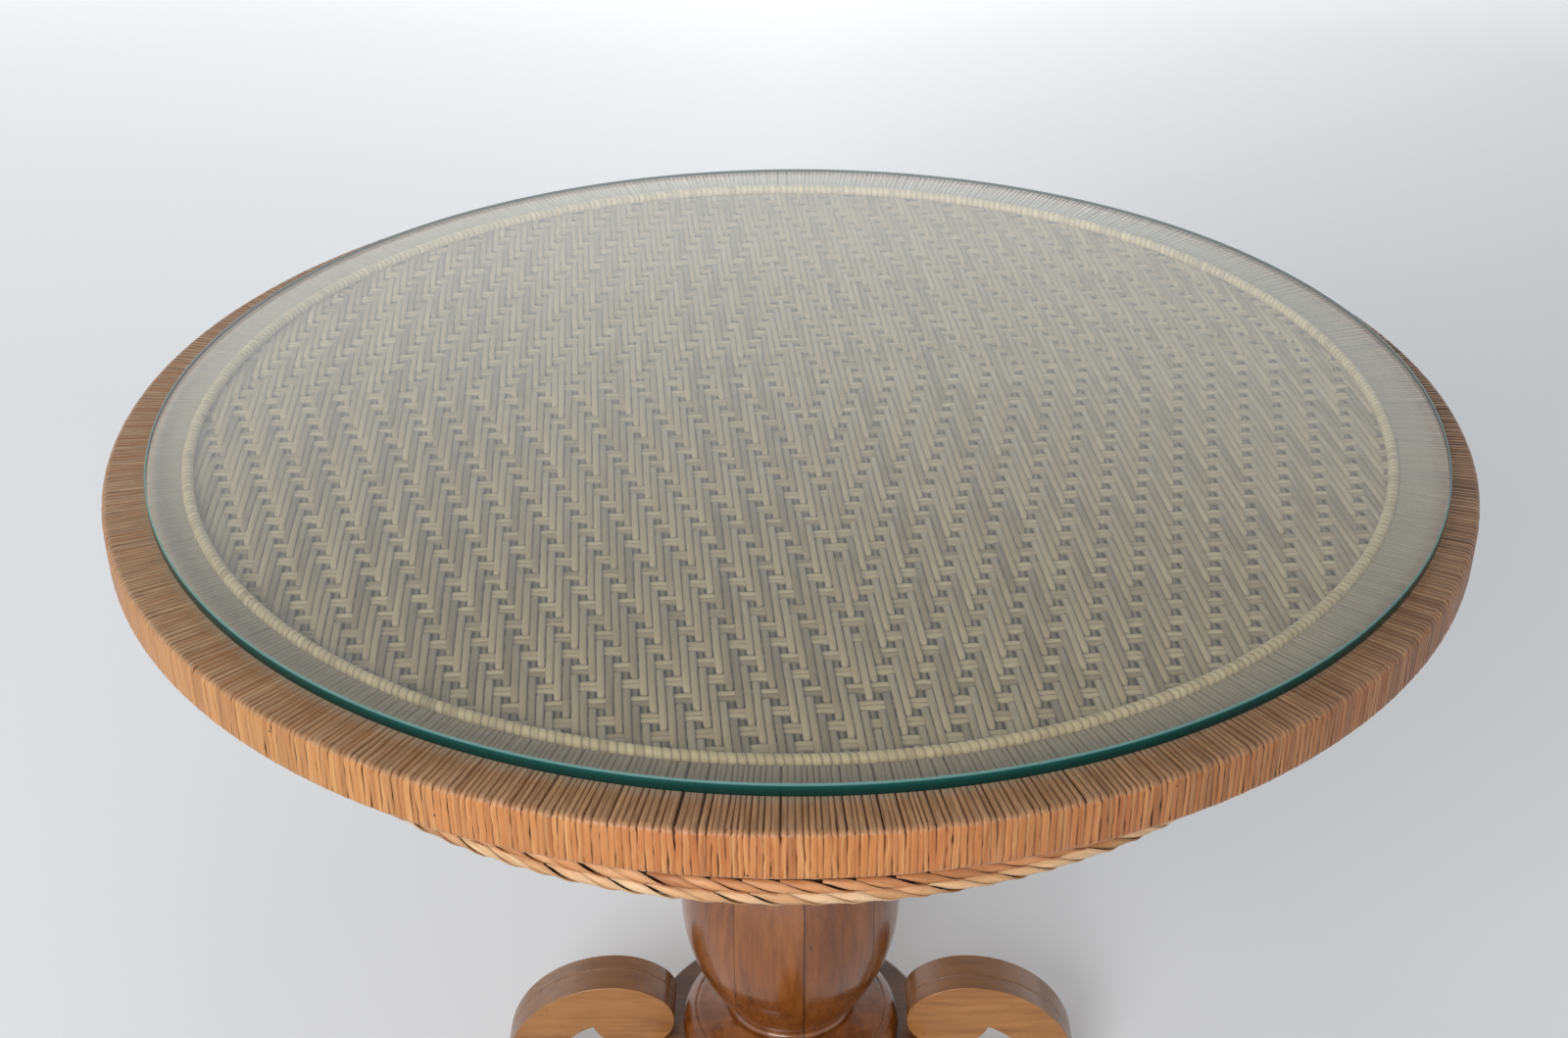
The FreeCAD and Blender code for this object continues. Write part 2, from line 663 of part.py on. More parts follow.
# Collar: a turned cushion with a round side and one scribed line.
collar_edge = "(plinth_height + collar_side_height)"
scribe_level = f"({collar_edge} + collar_crown)"
cushion_share = "0.4"
cushion_level = f"{scribe_level} + ({collar_top} - {scribe_level}) * {cushion_share}"
collar_foot = "(collar_radius - collar_bulge)"
node(turned("collar_turning", [
    (bore_radius, "plinth_height"),
    (collar_foot, "plinth_height"),
    ("collar_radius + collar_bulge", "plinth_height + collar_side_height / 2", collar_foot, collar_edge),
    (f"{scribe_radius} + scribe_depth", scribe_level),
    (scribe_radius, f"{scribe_level} - scribe_depth"),
    (f"{scribe_radius} - scribe_depth", scribe_level),
    (f"(ring_radius + {scribe_radius}) / 2", cushion_level, "ring_radius", collar_top),
    (bore_radius, collar_top),
]), "base_collar")

# Plinth disc, screwed to each foot from below.
plinth_bite = f"({plinth_bottom} + screw_bite)"
plinth_side = "(plinth_radius - plinth_edge)"
plinth_fall = f"plinth_edge * (1 - {bend_share})"
plinth_bend = f"{plinth_side} + plinth_edge * {bend_share}"
plinth_body = turned("plinth_turning", [
    (bore_radius, plinth_bottom),
    (plinth_side, plinth_bottom),
    (plinth_bend, f"{plinth_bottom} + {plinth_fall}", "plinth_radius", f"{plinth_bottom} + plinth_edge"),
    ("plinth_radius", "plinth_height - plinth_edge"),
    (plinth_bend, f"plinth_height - {plinth_fall}", plinth_side, "plinth_height"),
    (bore_radius, "plinth_height"),
])
plinth_spots = []
for index in range(leg_count):
    along = around("plinth_screw_reach", index * leg_turn)
    across = around("thin_ply / 2", (index + 1) * leg_turn)
    plinth_spots.append((f"{along[0]} + {across[0]}", f"{along[1]} + {across[1]}"))
plinth_holes = [
    screw_hole(f"plinth_hole_{i}", x, y, f"({plinth_bottom} - cut_overrun)", f"({plinth_bite} + hole_gap)")
    for i, (x, y) in enumerate(plinth_spots)
]
node(cut("plinth_drilled", plinth_body, plinth_holes), "plinth_disc")
plinth_head = "(foot_relief + screw_pocket_depth - screw_head_height)"
plinth_screws = [
    screw(f"plinth_screw_{i}", x, y, plinth_head, plinth_bite)
    for i, (x, y) in enumerate(plinth_spots)
]
node(group("plinth_screw_set", plinth_screws), "plinth_screws")

# Hub block between the four feet, bored for dowels and for the tie rod's lower nut.
hub_height = f"({plinth_bottom} - foot_relief)"
dowel_levels = [f"(foot_relief + {hub_height} * {share})" for share in dowel_level_shares]
half_dowel = "(leg_dowel_length / 2)"


def leg_dowel(name, angle, level, gap="0"):
    """A dowel from the hub into a foot, or with a gap the hole for it."""
    x, y = around(f"hub_half_width - {half_dowel} - {gap}", angle)
    lie = Rotation(Vector(0, 0, 1), angle).multiply(Rotation(Vector(0, 1, 0), 90))
    return rod(name, f"leg_dowel_radius + {gap}", f"leg_dowel_length + 2 * {gap}", x, y, level, lie)


hub_tools = [
    rod("hub_bore", bore_radius, f"{plinth_bottom} + cut_overrun"),
    rod("hub_pocket", "pocket_radius", nut_pocket + " + foot_relief"),
]
dowels = []
for index in range(leg_count):
    for level in dowel_levels:
        angle = index * leg_turn
        hub_tools.append(leg_dowel(f"hub_dowel_hole_{len(dowels)}", angle, level, "hole_gap"))
        dowels.append(leg_dowel(f"leg_dowel_{len(dowels)}", angle, level))
hub = block("hub_blank", "2 * hub_half_width", "2 * hub_half_width", hub_height, "foot_relief")
node(cut("hub_drilled", hub, hub_tools), "hub_block")
node(group("leg_dowel_set", dowels), "leg_dowels")

# Scroll foot: a bar along the floor that rises, turns over and ends in a round nose on the plinth.
scroll_level = f"({crown_height} - scroll_radius)"
eye_radius = "(scroll_radius - band_width)"
nose_level = "(plinth_height + nose_radius)"
nose_middle = "(nose_reach + nose_radius)"
nose_back = f"({nose_middle} + nose_length)"
crown_run = f"(scroll_reach - {nose_middle})"
crown_rise = f"({crown_height} - {nose_level})"
crown_span = f"({crown_run} ^ 2 + {crown_rise} ^ 2 - nose_radius ^ 2)"
crown_radius = f"({crown_span} / (2 * ({crown_rise} - nose_radius)))"
crown_gap = f"({crown_radius} - nose_radius)"
turn_x = f"(scroll_reach - {crown_radius} * {crown_run} / {crown_gap})"
crown_axis = f"({crown_height} - {crown_radius})"
turn_z = f"({crown_axis} + {crown_radius} * ({crown_radius} - {crown_rise}) / {crown_gap})"
crown_x = f"((scroll_reach + {turn_x}) / 2)"
crown_z = f"({crown_axis} + sqrt({crown_radius} ^ 2 - (scroll_reach - {crown_x}) ^ 2))"
toe_x = f"(scroll_reach + sqrt(scroll_radius ^ 2 - {scroll_level} ^ 2))"
sole_x = f"({toe_x} - sole_length)"
eye_run = f"(scroll_reach - {nose_back})"
eye_drop = f"({nose_level} - {scroll_level})"
eye_span = f"sqrt({eye_run} ^ 2 + {eye_drop} ^ 2)"
eye_along = f"((nose_radius ^ 2 - {eye_radius} ^ 2 + {eye_span} ^ 2) / (2 * {eye_span}))"
eye_across = f"sqrt(nose_radius ^ 2 - {eye_along} ^ 2)"
point_x = f"({nose_back} + ({eye_along} * {eye_run} + {eye_across} * {eye_drop}) / {eye_span})"
point_z = f"({nose_level} + ({eye_across} * {eye_run} - {eye_along} * {eye_drop}) / {eye_span})"
under_x = f"(({nose_back} + {point_x}) / 2)"
under_z = f"({nose_level} - sqrt(nose_radius ^ 2 - ({under_x} - {nose_back}) ^ 2))"
eye_floor = f"({plinth_bottom} - eye_floor_drop)"
fillet_z = f"({eye_floor} + eye_fillet)"
fillet_gap = f"({eye_radius} - eye_fillet)"
fillet_x = f"(scroll_reach + sqrt({fillet_gap} ^ 2 - ({fillet_z} - {scroll_level}) ^ 2))"
heel_x = f"(scroll_reach + ({fillet_x} - scroll_reach) * {eye_radius} / {fillet_gap})"
heel_z = f"({scroll_level} + ({fillet_z} - {scroll_level}) * {eye_radius} / {fillet_gap})"
inner_x = f"(({point_x} + {heel_x}) / 2)"
inner_z = f"({scroll_level} + sqrt({eye_radius} ^ 2 - ({inner_x} - scroll_reach) ^ 2))"
scroll_path = [
    ("hub_half_width", "foot_relief"),
    (f"{sole_x} - foot_relief", "foot_relief"),
    (sole_x, "0"),
    (toe_x, "0"),
    ("scroll_reach + scroll_radius", scroll_level, "scroll_reach", crown_height),
    (crown_x, crown_z, turn_x, turn_z),
    ("nose_reach", nose_level, nose_middle, "plinth_height"),
    (nose_back, "plinth_height"),
    (under_x, under_z, point_x, point_z),
    (inner_x, inner_z, heel_x, heel_z),
    (f"{fillet_x} + eye_fillet", fillet_z, fillet_x, eye_floor),
    ("plinth_radius + eye_ramp", eye_floor),
    ("plinth_radius", plinth_bottom),
    ("hub_half_width", plinth_bottom),
]
glue_plane = "(thin_ply - thick_ply) / 2"
leg_holes = [leg_dowel(f"foot_dowel_hole_{i}", 0, level, "hole_gap") for i, level in enumerate(dowel_levels)]
thin = place(sawn("thin_board", scroll_path, "thin_ply"), y=glue_plane)
thick = place(sawn("thick_board", scroll_path, "thick_ply"), y=f"{glue_plane} + thick_ply")
screw_y = "thin_ply / 2"
foot_screw_end = f"({plinth_bottom} + cut_overrun)"
thick_holes = leg_holes + [
    screw_hole("foot_screw_hole", "plinth_screw_reach", screw_y, "foot_relief", foot_screw_end),
    screw_pocket("foot_screw_pocket", "plinth_screw_reach", screw_y, "foot_relief", "screw_pocket_depth"),
]
copies(cut("thin_drilled", thin, leg_holes), "foot_thin_board", leg_count, leg_turn)
copies(cut("thick_drilled", thick, thick_holes), "foot_thick_board", leg_count, leg_turn)

# Tie rod through hub, plinth, collar, pedestal and plate, with a nut and washer at each end.
low_washer = f"(foot_relief + {nut_pocket} - washer_thickness)"
low_nut = f"({low_washer} - nut_height)"
high_washer = plate_top_pocket
high_nut = f"({high_washer} + washer_thickness)"
rod_bottom = f"({low_nut} - rod_end / 2)"
rod_top = f"({high_nut} + nut_height + rod_end / 2)"
node(rod("tie_bar", "rod_radius", f"{rod_top} - {rod_bottom}", z=rod_bottom), "tie_rod")
nuts = []
washers = []
for name, nut_level, washer_level in (("low", low_nut, low_washer), ("high", high_nut, high_washer)):
    hexagon = doc.addObject("Part::Prism", f"{name}_hexagon")
    hexagon.setExpression("Circumradius", bind("nut_radius"))
    hexagon.setExpression("Height", bind("nut_height"))
    place(hexagon, z=nut_level)
    bore_base = f"{nut_level} - cut_overrun"
    thread = rod(f"{name}_nut_bore", bore_radius, "nut_height + 2 * cut_overrun", z=bore_base)
    nuts.append(cut(f"{name}_nut", hexagon, [thread]))
    round_plate = rod(f"{name}_washer_disc", "washer_radius", "washer_thickness", z=washer_level)
    bore_base = f"{washer_level} - cut_overrun"
    hole = rod(f"{name}_washer_bore", bore_radius, "washer_thickness + 2 * cut_overrun", z=bore_base)
    washers.append(cut(f"{name}_washer", round_plate, [hole]))
node(group("nut_set", nuts), "tie_rod_nuts")
node(group("washer_set", washers), "tie_rod_washers")

doc.recompute()
for thing in doc.Objects:
    if "Invalid" in thing.State or "Error" in thing.State:
        raise RuntimeError(f"{thing.Name} failed: {thing.State}")
for piece in nodes:
    if piece.Shape.isNull() or not piece.Shape.isValid():
        raise RuntimeError(f"{piece.Label} has no sound shape")

os.makedirs("parts", exist_ok=True)
for piece in nodes:
    piece.Shape.exportStep(f"parts/{piece.Label}.step")
    print(piece.Label, len(piece.Shape.Solids), round(piece.Shape.Volume))
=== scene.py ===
import math

import bpy
import numpy as np
from mathutils import Matrix, Vector


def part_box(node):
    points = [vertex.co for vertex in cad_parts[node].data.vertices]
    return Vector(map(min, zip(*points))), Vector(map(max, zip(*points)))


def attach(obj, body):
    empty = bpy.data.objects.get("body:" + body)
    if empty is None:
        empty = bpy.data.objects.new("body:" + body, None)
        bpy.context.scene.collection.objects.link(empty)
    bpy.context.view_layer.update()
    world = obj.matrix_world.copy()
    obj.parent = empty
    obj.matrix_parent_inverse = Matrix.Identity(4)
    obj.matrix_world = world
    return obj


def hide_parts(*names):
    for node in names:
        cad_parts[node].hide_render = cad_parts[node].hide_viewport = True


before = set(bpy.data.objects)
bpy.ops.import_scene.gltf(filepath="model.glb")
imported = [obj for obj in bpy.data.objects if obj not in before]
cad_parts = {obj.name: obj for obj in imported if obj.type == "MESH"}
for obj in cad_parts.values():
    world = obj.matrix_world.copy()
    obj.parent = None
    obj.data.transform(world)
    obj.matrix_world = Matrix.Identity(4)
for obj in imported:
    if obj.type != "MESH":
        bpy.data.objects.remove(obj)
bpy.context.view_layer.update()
bpy.ops.object.select_all(action="DESELECT")

# Scroll feet: four feet, each of two hardwood boards sawn to one outline and glued face to face.
# They are stained brown under a worn gloss lacquer, and darker on the sawn bands, partly from stain and
# partly as painted shade. Their corners are eased by sanding, and they are dowelled to the hub block and
# screwed up into the plinth.
FOOT_COUNT = 4
FOOT_EDGE = 0.0009
FOOT_TONES = ((136, 86, 44), (168, 114, 62), (186, 133, 78))
FOOT_COAT = 0.2
BAND_STAIN_AND_SHADE = (100, 58, 26)
BAND_SHARE = 0.46
SEAM_COLOUR = (60, 34, 16)
SEAM_SHARE = 0.8
SEAM_WIDTH = 0.0007
BOARD_SHIFT = 0.4
GRAIN_STRETCH = 0.07
PORE_SHARE = 0.3
PORE_DEPTH = 0.0004
PORE_DARK = 0.55
SPECK_SHARE = 0.7
MERGE_DISTANCE = 2e-6
FLAT_ANGLE = math.radians(0.6)
SMOOTH_ANGLE = math.radians(35)
FIBRE_AXES = {"X": (1, 2, 0), "Y": (2, 0, 1), "Z": (0, 1, 2)}


def paint(red, green, blue):
    """A colour as the eye sees it, 0 to 255, in the linear values that shaders take."""
    seen = [value / 255 for value in (red, green, blue)]
    return tuple(v / 12.92 if v < 0.04045 else ((v + 0.055) / 1.055) ** 2.4 for v in seen) + (1.0,)


def shader(tree, kind, inputs=None, **settings):
    """A shader node with its settings, and with values or links on its inputs."""
    made = tree.nodes.new("ShaderNode" + kind)
    for name, value in settings.items():
        setattr(made, name, value)
    for name, value in (inputs or {}).items():
        if isinstance(value, bpy.types.NodeSocket):
            tree.links.new(value, made.inputs[name])
        else:
            made.inputs[name].default_value = value
    return made


def maths(tree, operation, first, second=0.0):
    """The result of one sum."""
    return shader(tree, "Math", {0: first, 1: second}, operation=operation).outputs[0]


def times(tree, first, second):
    """Two masks, or a mask and a share, multiplied."""
    return maths(tree, "MULTIPLY", first, second)


def noise(tree, vector, scale, detail=2.0, rough=0.5, distortion=0.0):
    """Smooth noise over a vector, about 0.5."""
    made = shader(tree, "TexNoise", {
        "Vector": vector, "Scale": scale, "Detail": detail, "Roughness": rough, "Distortion": distortion,
    })
    return made.outputs[0]


def spread(tree, value, low, high, to_low=0.0, to_high=1.0):
    """A value's stretch from low to high, drawn out to another stretch."""
    made = shader(tree, "MapRange", {
        "Value": value, "From Min": low, "From Max": high, "To Min": to_low, "To Max": to_high,
    })
    return made.outputs[0]


def scaled(tree, vector, scale):
    """A vector with each axis drawn out or squeezed."""
    return shader(tree, "Mapping", {"Vector": vector, "Scale": scale}).outputs[0]


def stained(tree, share, colour, stain):
    """A colour with a share of a stain over it."""
    return shader(tree, "Mix", {0: share, 6: colour, 7: paint(*stain)}, data_type="RGBA").outputs[2]


def ramp(tree, value, stops):
    """The colour of a value along a row of (place, colour) stops."""
    made = shader(tree, "ValToRGB", {0: value})
    row = made.color_ramp.elements
    while len(row) < len(stops):
        row.new(1.0)
    for element, (place, colour) in zip(row, stops):
        element.position = place
        element.color = colour
    return made.outputs[0]


def toned(tree, value, tones):
    """The colour of a value from 0 to 1 along an even row of tones."""
    places = np.linspace(0.0, 1.0, len(tones))
    return ramp(tree, value, [(place, paint(*tone)) for place, tone in zip(places, tones)])


def new_group(name, outputs):
    """An empty node group that takes a vector, with its inlet and outlet."""
    group = bpy.data.node_groups.new(name, "ShaderNodeTree")
    group.interface.new_socket("Vector", in_out="INPUT", socket_type="NodeSocketVector")
    for output in outputs:
        group.interface.new_socket(output, in_out="OUTPUT", socket_type="NodeSocketFloat")
    return group, group.nodes.new("NodeGroupInput").outputs[0], group.nodes.new("NodeGroupOutput").inputs


def placed_group(tree, group, vector):
    """The outputs of one use of a node group in a material."""
    made = tree.nodes.new("ShaderNodeGroup")
    made.node_tree = group
    tree.links.new(vector, made.inputs["Vector"])
    return made.outputs


def make_wood_figure():
    """Streaks, pores, blotches and specks of wood whose fibres run along the vector's third axis."""
    group, place, out = new_group("wood_figure", ("Streaks", "Pores", "Blotch", "Specks"))
    along = scaled(group, place, (1.0, 1.0, GRAIN_STRETCH))
    drawn = scaled(group, place, (1.0, 1.0, 3 * GRAIN_STRETCH))
    group.links.new(spread(group, noise(group, along, 120.0, 4.0, 0.6, 0.4), 0.34, 0.68), out["Streaks"])
    group.links.new(spread(group, noise(group, along, 620.0, 3.0, 0.7), 0.56, 0.72), out["Pores"])
    group.links.new(spread(group, noise(group, drawn, 34.0, 4.0, 0.62, 0.3), 0.32, 0.7), out["Blotch"])
    group.links.new(spread(group, noise(group, place, 210.0, 1.0, 0.4), 0.77, 0.8), out["Specks"])
    return group


wood_figure = make_wood_figure()


def new_material(name):
    """A material with its node tree and its principled shader."""
    material = bpy.data.materials.new(name)
    material.use_nodes = True
    return material, material.node_tree, material.node_tree.nodes["Principled BSDF"]


def opened(material):
    """A material's node tree, its principled shader and the colour that feeds it."""
    shade = material.node_tree.nodes["Principled BSDF"]
    return material.node_tree, shade, shade.inputs["Base Color"].links[0].from_socket


def own_place(tree):
    """The place in the table's frame."""
    return shader(tree, "TexCoord").outputs["Object"]


def kept(tree, name, output="Fac"):
    """What a mesh keeps under a name, read in a material."""
    return shader(tree, "Attribute", attribute_name=name).outputs[output]


def own_grain(tree):
    """The place in a board, with the third axis along its fibres."""
    return kept(tree, "grain", "Vector")


def wood(name, vector_of, tones, rough=(0.24, 0.44), coat=0.5):
    """Lacquered or bare wood: streaks from deep to pale, dark pores and specks, and a blotched gloss."""
    material, tree, shade = new_material(name)
    figure = placed_group(tree, wood_figure, vector_of(tree))
    figured = spread(tree, maths(tree, "ADD", figure["Streaks"], figure["Blotch"]), 0.0, 2.0)
    pores = times(tree, figure["Pores"], PORE_SHARE)
    pores = maths(tree, "MAXIMUM", pores, times(tree, figure["Specks"], SPECK_SHARE))
    dark = [value * PORE_DARK for value in tones[0]]
    tree.links.new(stained(tree, pores, toned(tree, figured, tones), dark), shade.inputs["Base Color"])
    tree.links.new(spread(tree, figure["Blotch"], 0.0, 1.0, *rough), shade.inputs["Roughness"])
    sunk = {"Height": figure["Pores"], "Strength": 0.12, "Distance": PORE_DEPTH}
    tree.links.new(shader(tree, "Bump", sunk, invert=True).outputs[0], shade.inputs["Normal"])
    shade.inputs["Coat Weight"].default_value = coat
    shade.inputs["Coat Roughness"].default_value = 0.12
    return material


def new_piece(name, mesh):
    """A new object, which alone is selected."""
    piece = bpy.data.objects.new(name, mesh)
    bpy.context.scene.collection.objects.link(piece)
    bpy.ops.object.select_all(action="DESELECT")
    bpy.context.view_layer.objects.active = piece
    piece.select_set(True)
    return piece


def keep(mesh, name, values, where="POINT"):
    """Keep a number or a vector for each point or face of a mesh under a name."""
    values = np.asarray(values, np.float32)
    kind, field = ("FLOAT", "value") if values.ndim == 1 else ("FLOAT_VECTOR", "vector")
    mesh.attributes.new(name, kind, where).data.foreach_set(field, values.ravel())


def eased(node, edge, fibres, seed):
    """A copy of a CAD node with its corners eased, and with its fibres along an axis."""
    piece = new_piece(node + "_sanded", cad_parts[node].data.copy())
    bpy.ops.mesh.customdata_custom_splitnormals_clear()
    bpy.ops.object.mode_set(mode="EDIT")
    bpy.ops.mesh.select_all(action="SELECT")
    bpy.ops.mesh.remove_doubles(threshold=MERGE_DISTANCE)
    bpy.ops.mesh.dissolve_limited(angle_limit=FLAT_ANGLE)
    bpy.ops.object.mode_set(mode="OBJECT")
    bevel = piece.modifiers.new("eased_corners", "BEVEL")
    bevel.width = edge
    bevel.segments = 3
    bevel.use_clamp_overlap = False
    bevel.limit_method = "ANGLE"
    bevel.angle_limit = SMOOTH_ANGLE
    bpy.ops.object.modifier_apply(modifier=bevel.name)
    bpy.ops.object.shade_smooth_by_angle(angle=SMOOTH_ANGLE)
    level = piece.modifiers.new("flat_faces", "WEIGHTED_NORMAL")
    level.keep_sharp = True
    bpy.ops.object.modifier_apply(modifier=level.name)
    places = np.empty(len(piece.data.vertices) * 3, np.float32)
    piece.data.vertices.foreach_get("co", places)
    keep(piece.data, "grain", places.reshape(-1, 3)[:, FIBRE_AXES[fibres]] + np.float32(seed))
    return piece


def finish_piece(piece, material, body, slot, *nodes):
    """Give a piece its material and its body, and hide the nodes it stands for. The slot is not used."""
    piece.data.materials.clear()
    piece.data.materials.append(material)
    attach(piece, body)
    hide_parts(*nodes)


def set_seam(piece, axis, plane):
    """Keep each point's distance from a glue plane in the attribute "seam"."""
    keep(piece.data, "seam", [abs(point.co[axis] - plane) for point in piece.data.vertices])


def set_band(piece, axis):
    """Keep in the attribute "band" how far each face turns away from the flat sides of its board."""
    keep(piece.data, "band", [1 - abs(face.normal[axis]) for face in piece.data.polygons], "FACE")


foot_wood = wood("foot_wood", own_grain, FOOT_TONES, coat=FOOT_COAT)
tree, shade, colour = opened(foot_wood)
# The bands are darker partly from stain and partly as painted shade.
colour = stained(tree, times(tree, kept(tree, "band"), BAND_SHARE), colour, BAND_STAIN_AND_SHADE)
seam = spread(tree, kept(tree, "seam"), 0.0, SEAM_WIDTH, SEAM_SHARE, 0.0)
tree.links.new(stained(tree, seam, colour, SEAM_COLOUR), shade.inputs["Base Color"])
for number in range(1, FOOT_COUNT + 1):
    fibres, axis = ("X", 1) if number % 2 else ("Y", 0)
    nodes = [f"foot_{ply}_board_{number}" for ply in ("thin", "thick")]
    glue = max(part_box(node)[0][axis] for node in nodes)
    for board, node in enumerate(nodes):
        piece = eased(node, FOOT_EDGE, fibres, seed=number + BOARD_SHIFT * board)
        set_seam(piece, axis, glue)
        set_band(piece, axis)
        finish_piece(piece, foot_wood, "table", "foot_wood", node)

# Plinth and hub: a thick round board on top of the feet, and the square block that they are dowelled to.
# Both are hardwood. The plinth is stained and lacquered, and the block and its dowels are left bare.
PLINTH_EDGE = 0.0006
PLINTH_TONES = ((86, 46, 20), (116, 68, 32), (146, 94, 50))
FRAME_TONES = ((120, 84, 50), (164, 124, 80), (190, 150, 104))
FRAME_ROUGH = (0.5, 0.7)


def dress(material, *nodes):
    """Give CAD nodes that keep their own meshes a material."""
    for node in nodes:
        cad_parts[node].data.materials.clear()
        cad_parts[node].data.materials.append(material)


plinth_wood = wood("plinth_wood", own_grain, PLINTH_TONES)
plinth = eased("plinth_disc", PLINTH_EDGE, "X", seed=6.1)
finish_piece(plinth, plinth_wood, "table", "foot_wood", "plinth_disc")
frame_wood = wood("frame_wood", own_place, FRAME_TONES, FRAME_ROUGH, coat=0.0)
dress(frame_wood, "hub_block", "leg_dowels")

# Collar: a turned cushion of hardwood with one scribed line, between pedestal and plinth.
# It is stained and lacquered with the pedestal, and the tie rod clamps it.
COLLAR_EDGE = 0.0004
PEDESTAL_TONES = ((100, 52, 18), (133, 75, 29), (158, 96, 44))
PEDESTAL_ROUGH = (0.2, 0.38)
PEDESTAL_COAT = 0.6
collar_wood = wood("collar_wood", own_grain, PEDESTAL_TONES, PEDESTAL_ROUGH, PEDESTAL_COAT)
collar = eased("base_collar", COLLAR_EDGE, "Z", seed=7.3)
finish_piece(collar, collar_wood, "table", "pedestal_wood", "base_collar")

# Pedestal: a vase turned from a blank of four glued boards, stained brown under gloss lacquer.
# The glue lines show as fine dark lines, and the middle one has opened into a crack.
PEDESTAL_BOARDS = 4
PEDESTAL_EDGE = 0.00025
BOARD_SEED = 2.7
GLUE_COLOUR = (44, 20, 8)
GLUE_SHARE = 0.85
GLUE_WIDTH = 0.0006
CRACK_WIDTH = 0.0016


def split(tree, vector):
    """The three parts of a vector."""
    return shader(tree, "SeparateXYZ", {0: vector}).outputs


pedestal_wood = wood("pedestal_wood", own_grain, PEDESTAL_TONES, PEDESTAL_ROUGH, PEDESTAL_COAT)
boards = [f"pedestal_board_{number}" for number in range(1, PEDESTAL_BOARDS + 1)]
for number, node in enumerate(boards, 1):
    piece = eased(node, PEDESTAL_EDGE, "Z", seed=BOARD_SEED * number)
    finish_piece(piece, pedestal_wood, "table", "pedestal_wood", node)
tree, shade, colour = opened(pedestal_wood)
place = own_place(tree)
sideways = split(tree, place)[0]
waver = spread(tree, noise(tree, place, 60.0), 0.3, 0.7, -CRACK_WIDTH / 2, CRACK_WIDTH / 2)
cracked = maths(tree, "ADD", sideways, waver)
lines = ((sideways, GLUE_WIDTH), (cracked, CRACK_WIDTH), (sideways, GLUE_WIDTH))
for node, (course, width) in zip(boards, lines):
    off = maths(tree, "ABSOLUTE", maths(tree, "SUBTRACT", course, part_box(node)[1].x))
    colour = stained(tree, spread(tree, off, 0.0, width, GLUE_SHARE, 0.0), colour, GLUE_COLOUR)
tree.links.new(colour, shade.inputs["Base Color"])

# Capital and mounting plate: the turned upper end of the pedestal and the round board on it.
# The capital has the pedestal's finish; the plate is bare hardwood, screwed to the bearers.
PLATE_EDGE = 0.002
capital = eased("pedestal_capital", COLLAR_EDGE, "Z", seed=9.1)
finish_piece(capital, collar_wood, "table", "pedestal_wood", "pedestal_capital")
plate = eased("mounting_plate", PLATE_EDGE, "X", seed=3.3)
finish_piece(plate, frame_wood, "table", "frame_wood", "mounting_plate")

# Bearers: two planed wooden bars, half lapped where they cross under the top.
# They are left bare and screwed up into the backing board.
BEARER_EDGE = 0.0015
for axis, seed in (("x", 4.2), ("y", 5.8)):
    node = f"bearer_{axis}"
    piece = eased(node, BEARER_EDGE, axis.upper(), seed)
    finish_piece(piece, frame_wood, "table", "frame_wood", node)

# Fasteners: plated steel screws, brads, nuts and washers, and the rod that ties pedestal and base.
# They keep the shapes of their solids, with faces dulled by age.
FASTENERS = (
    "apron_brads", "bearer_screws", "plate_screws", "plinth_screws",
    "tie_rod", "tie_rod_nuts", "tie_rod_washers",
)
STEEL_TONES = ((120, 118, 112), (176, 174, 168))
STEEL_ROUGH = (0.28, 0.5)
steel, tree, shade = new_material("plated_steel")
cloud = spread(tree, noise(tree, own_place(tree), 160.0, 4.0, 0.6), 0.3, 0.7)
tree.links.new(toned(tree, cloud, STEEL_TONES), shade.inputs["Base Color"])
tree.links.new(spread(tree, cloud, 0.0, 1.0, *STEEL_ROUGH), shade.inputs["Roughness"])
shade.inputs["Metallic"].default_value = 1.0
dress(steel, *FASTENERS)

# Backing board, felloes, hoop segments and dowels: the wooden body of the top under its cane.
# They are planed and left bare, and show from below. The board's top is darker under the weave, partly
# as dirt and partly as painted shade, and the felloes are painted dark as shade under their binding.
SEGMENT_COUNT = 8
BOARD_TONES = ((134, 98, 60), (176, 138, 94), (198, 164, 118))
BOARD_ROUGH = (0.5, 0.72)
BOARD_SHADE_AND_DIRT = (98, 82, 58)
BOARD_LEAN = (0.5, 0.9)
FELLOE_SHADE_TONES = ((40, 24, 14), (58, 36, 20), (76, 50, 30))
FELLOE_ROUGH = (0.6, 0.8)


def facing_up(tree, low, high):
    """A mask that grows from none to one as faces turn up."""
    return spread(tree, split(tree, shader(tree, "NewGeometry").outputs["Normal"])[2], low, high)


board_wood = wood("board_wood", own_place, BOARD_TONES, BOARD_ROUGH, coat=0.0)
tree, shade, colour = opened(board_wood)
# Upward faces are darkened under the weave, partly dirt and partly painted shade.
colour = stained(tree, facing_up(tree, *BOARD_LEAN), colour, BOARD_SHADE_AND_DIRT)
tree.links.new(colour, shade.inputs["Base Color"])
# The felloes are dark as painted shade, so that gaps in the binding show dark.
shade_dark_felloe_wood = wood("shade_dark_felloe_wood", own_place, FELLOE_SHADE_TONES, FELLOE_ROUGH, coat=0.0)
dress(board_wood, "backing_board")
dress(frame_wood, "rim_dowels")
for number in range(1, SEGMENT_COUNT + 1):
    dress(shade_dark_felloe_wood, f"rim_felloe_{number}")
    dress(frame_wood, f"apron_segment_{number}")
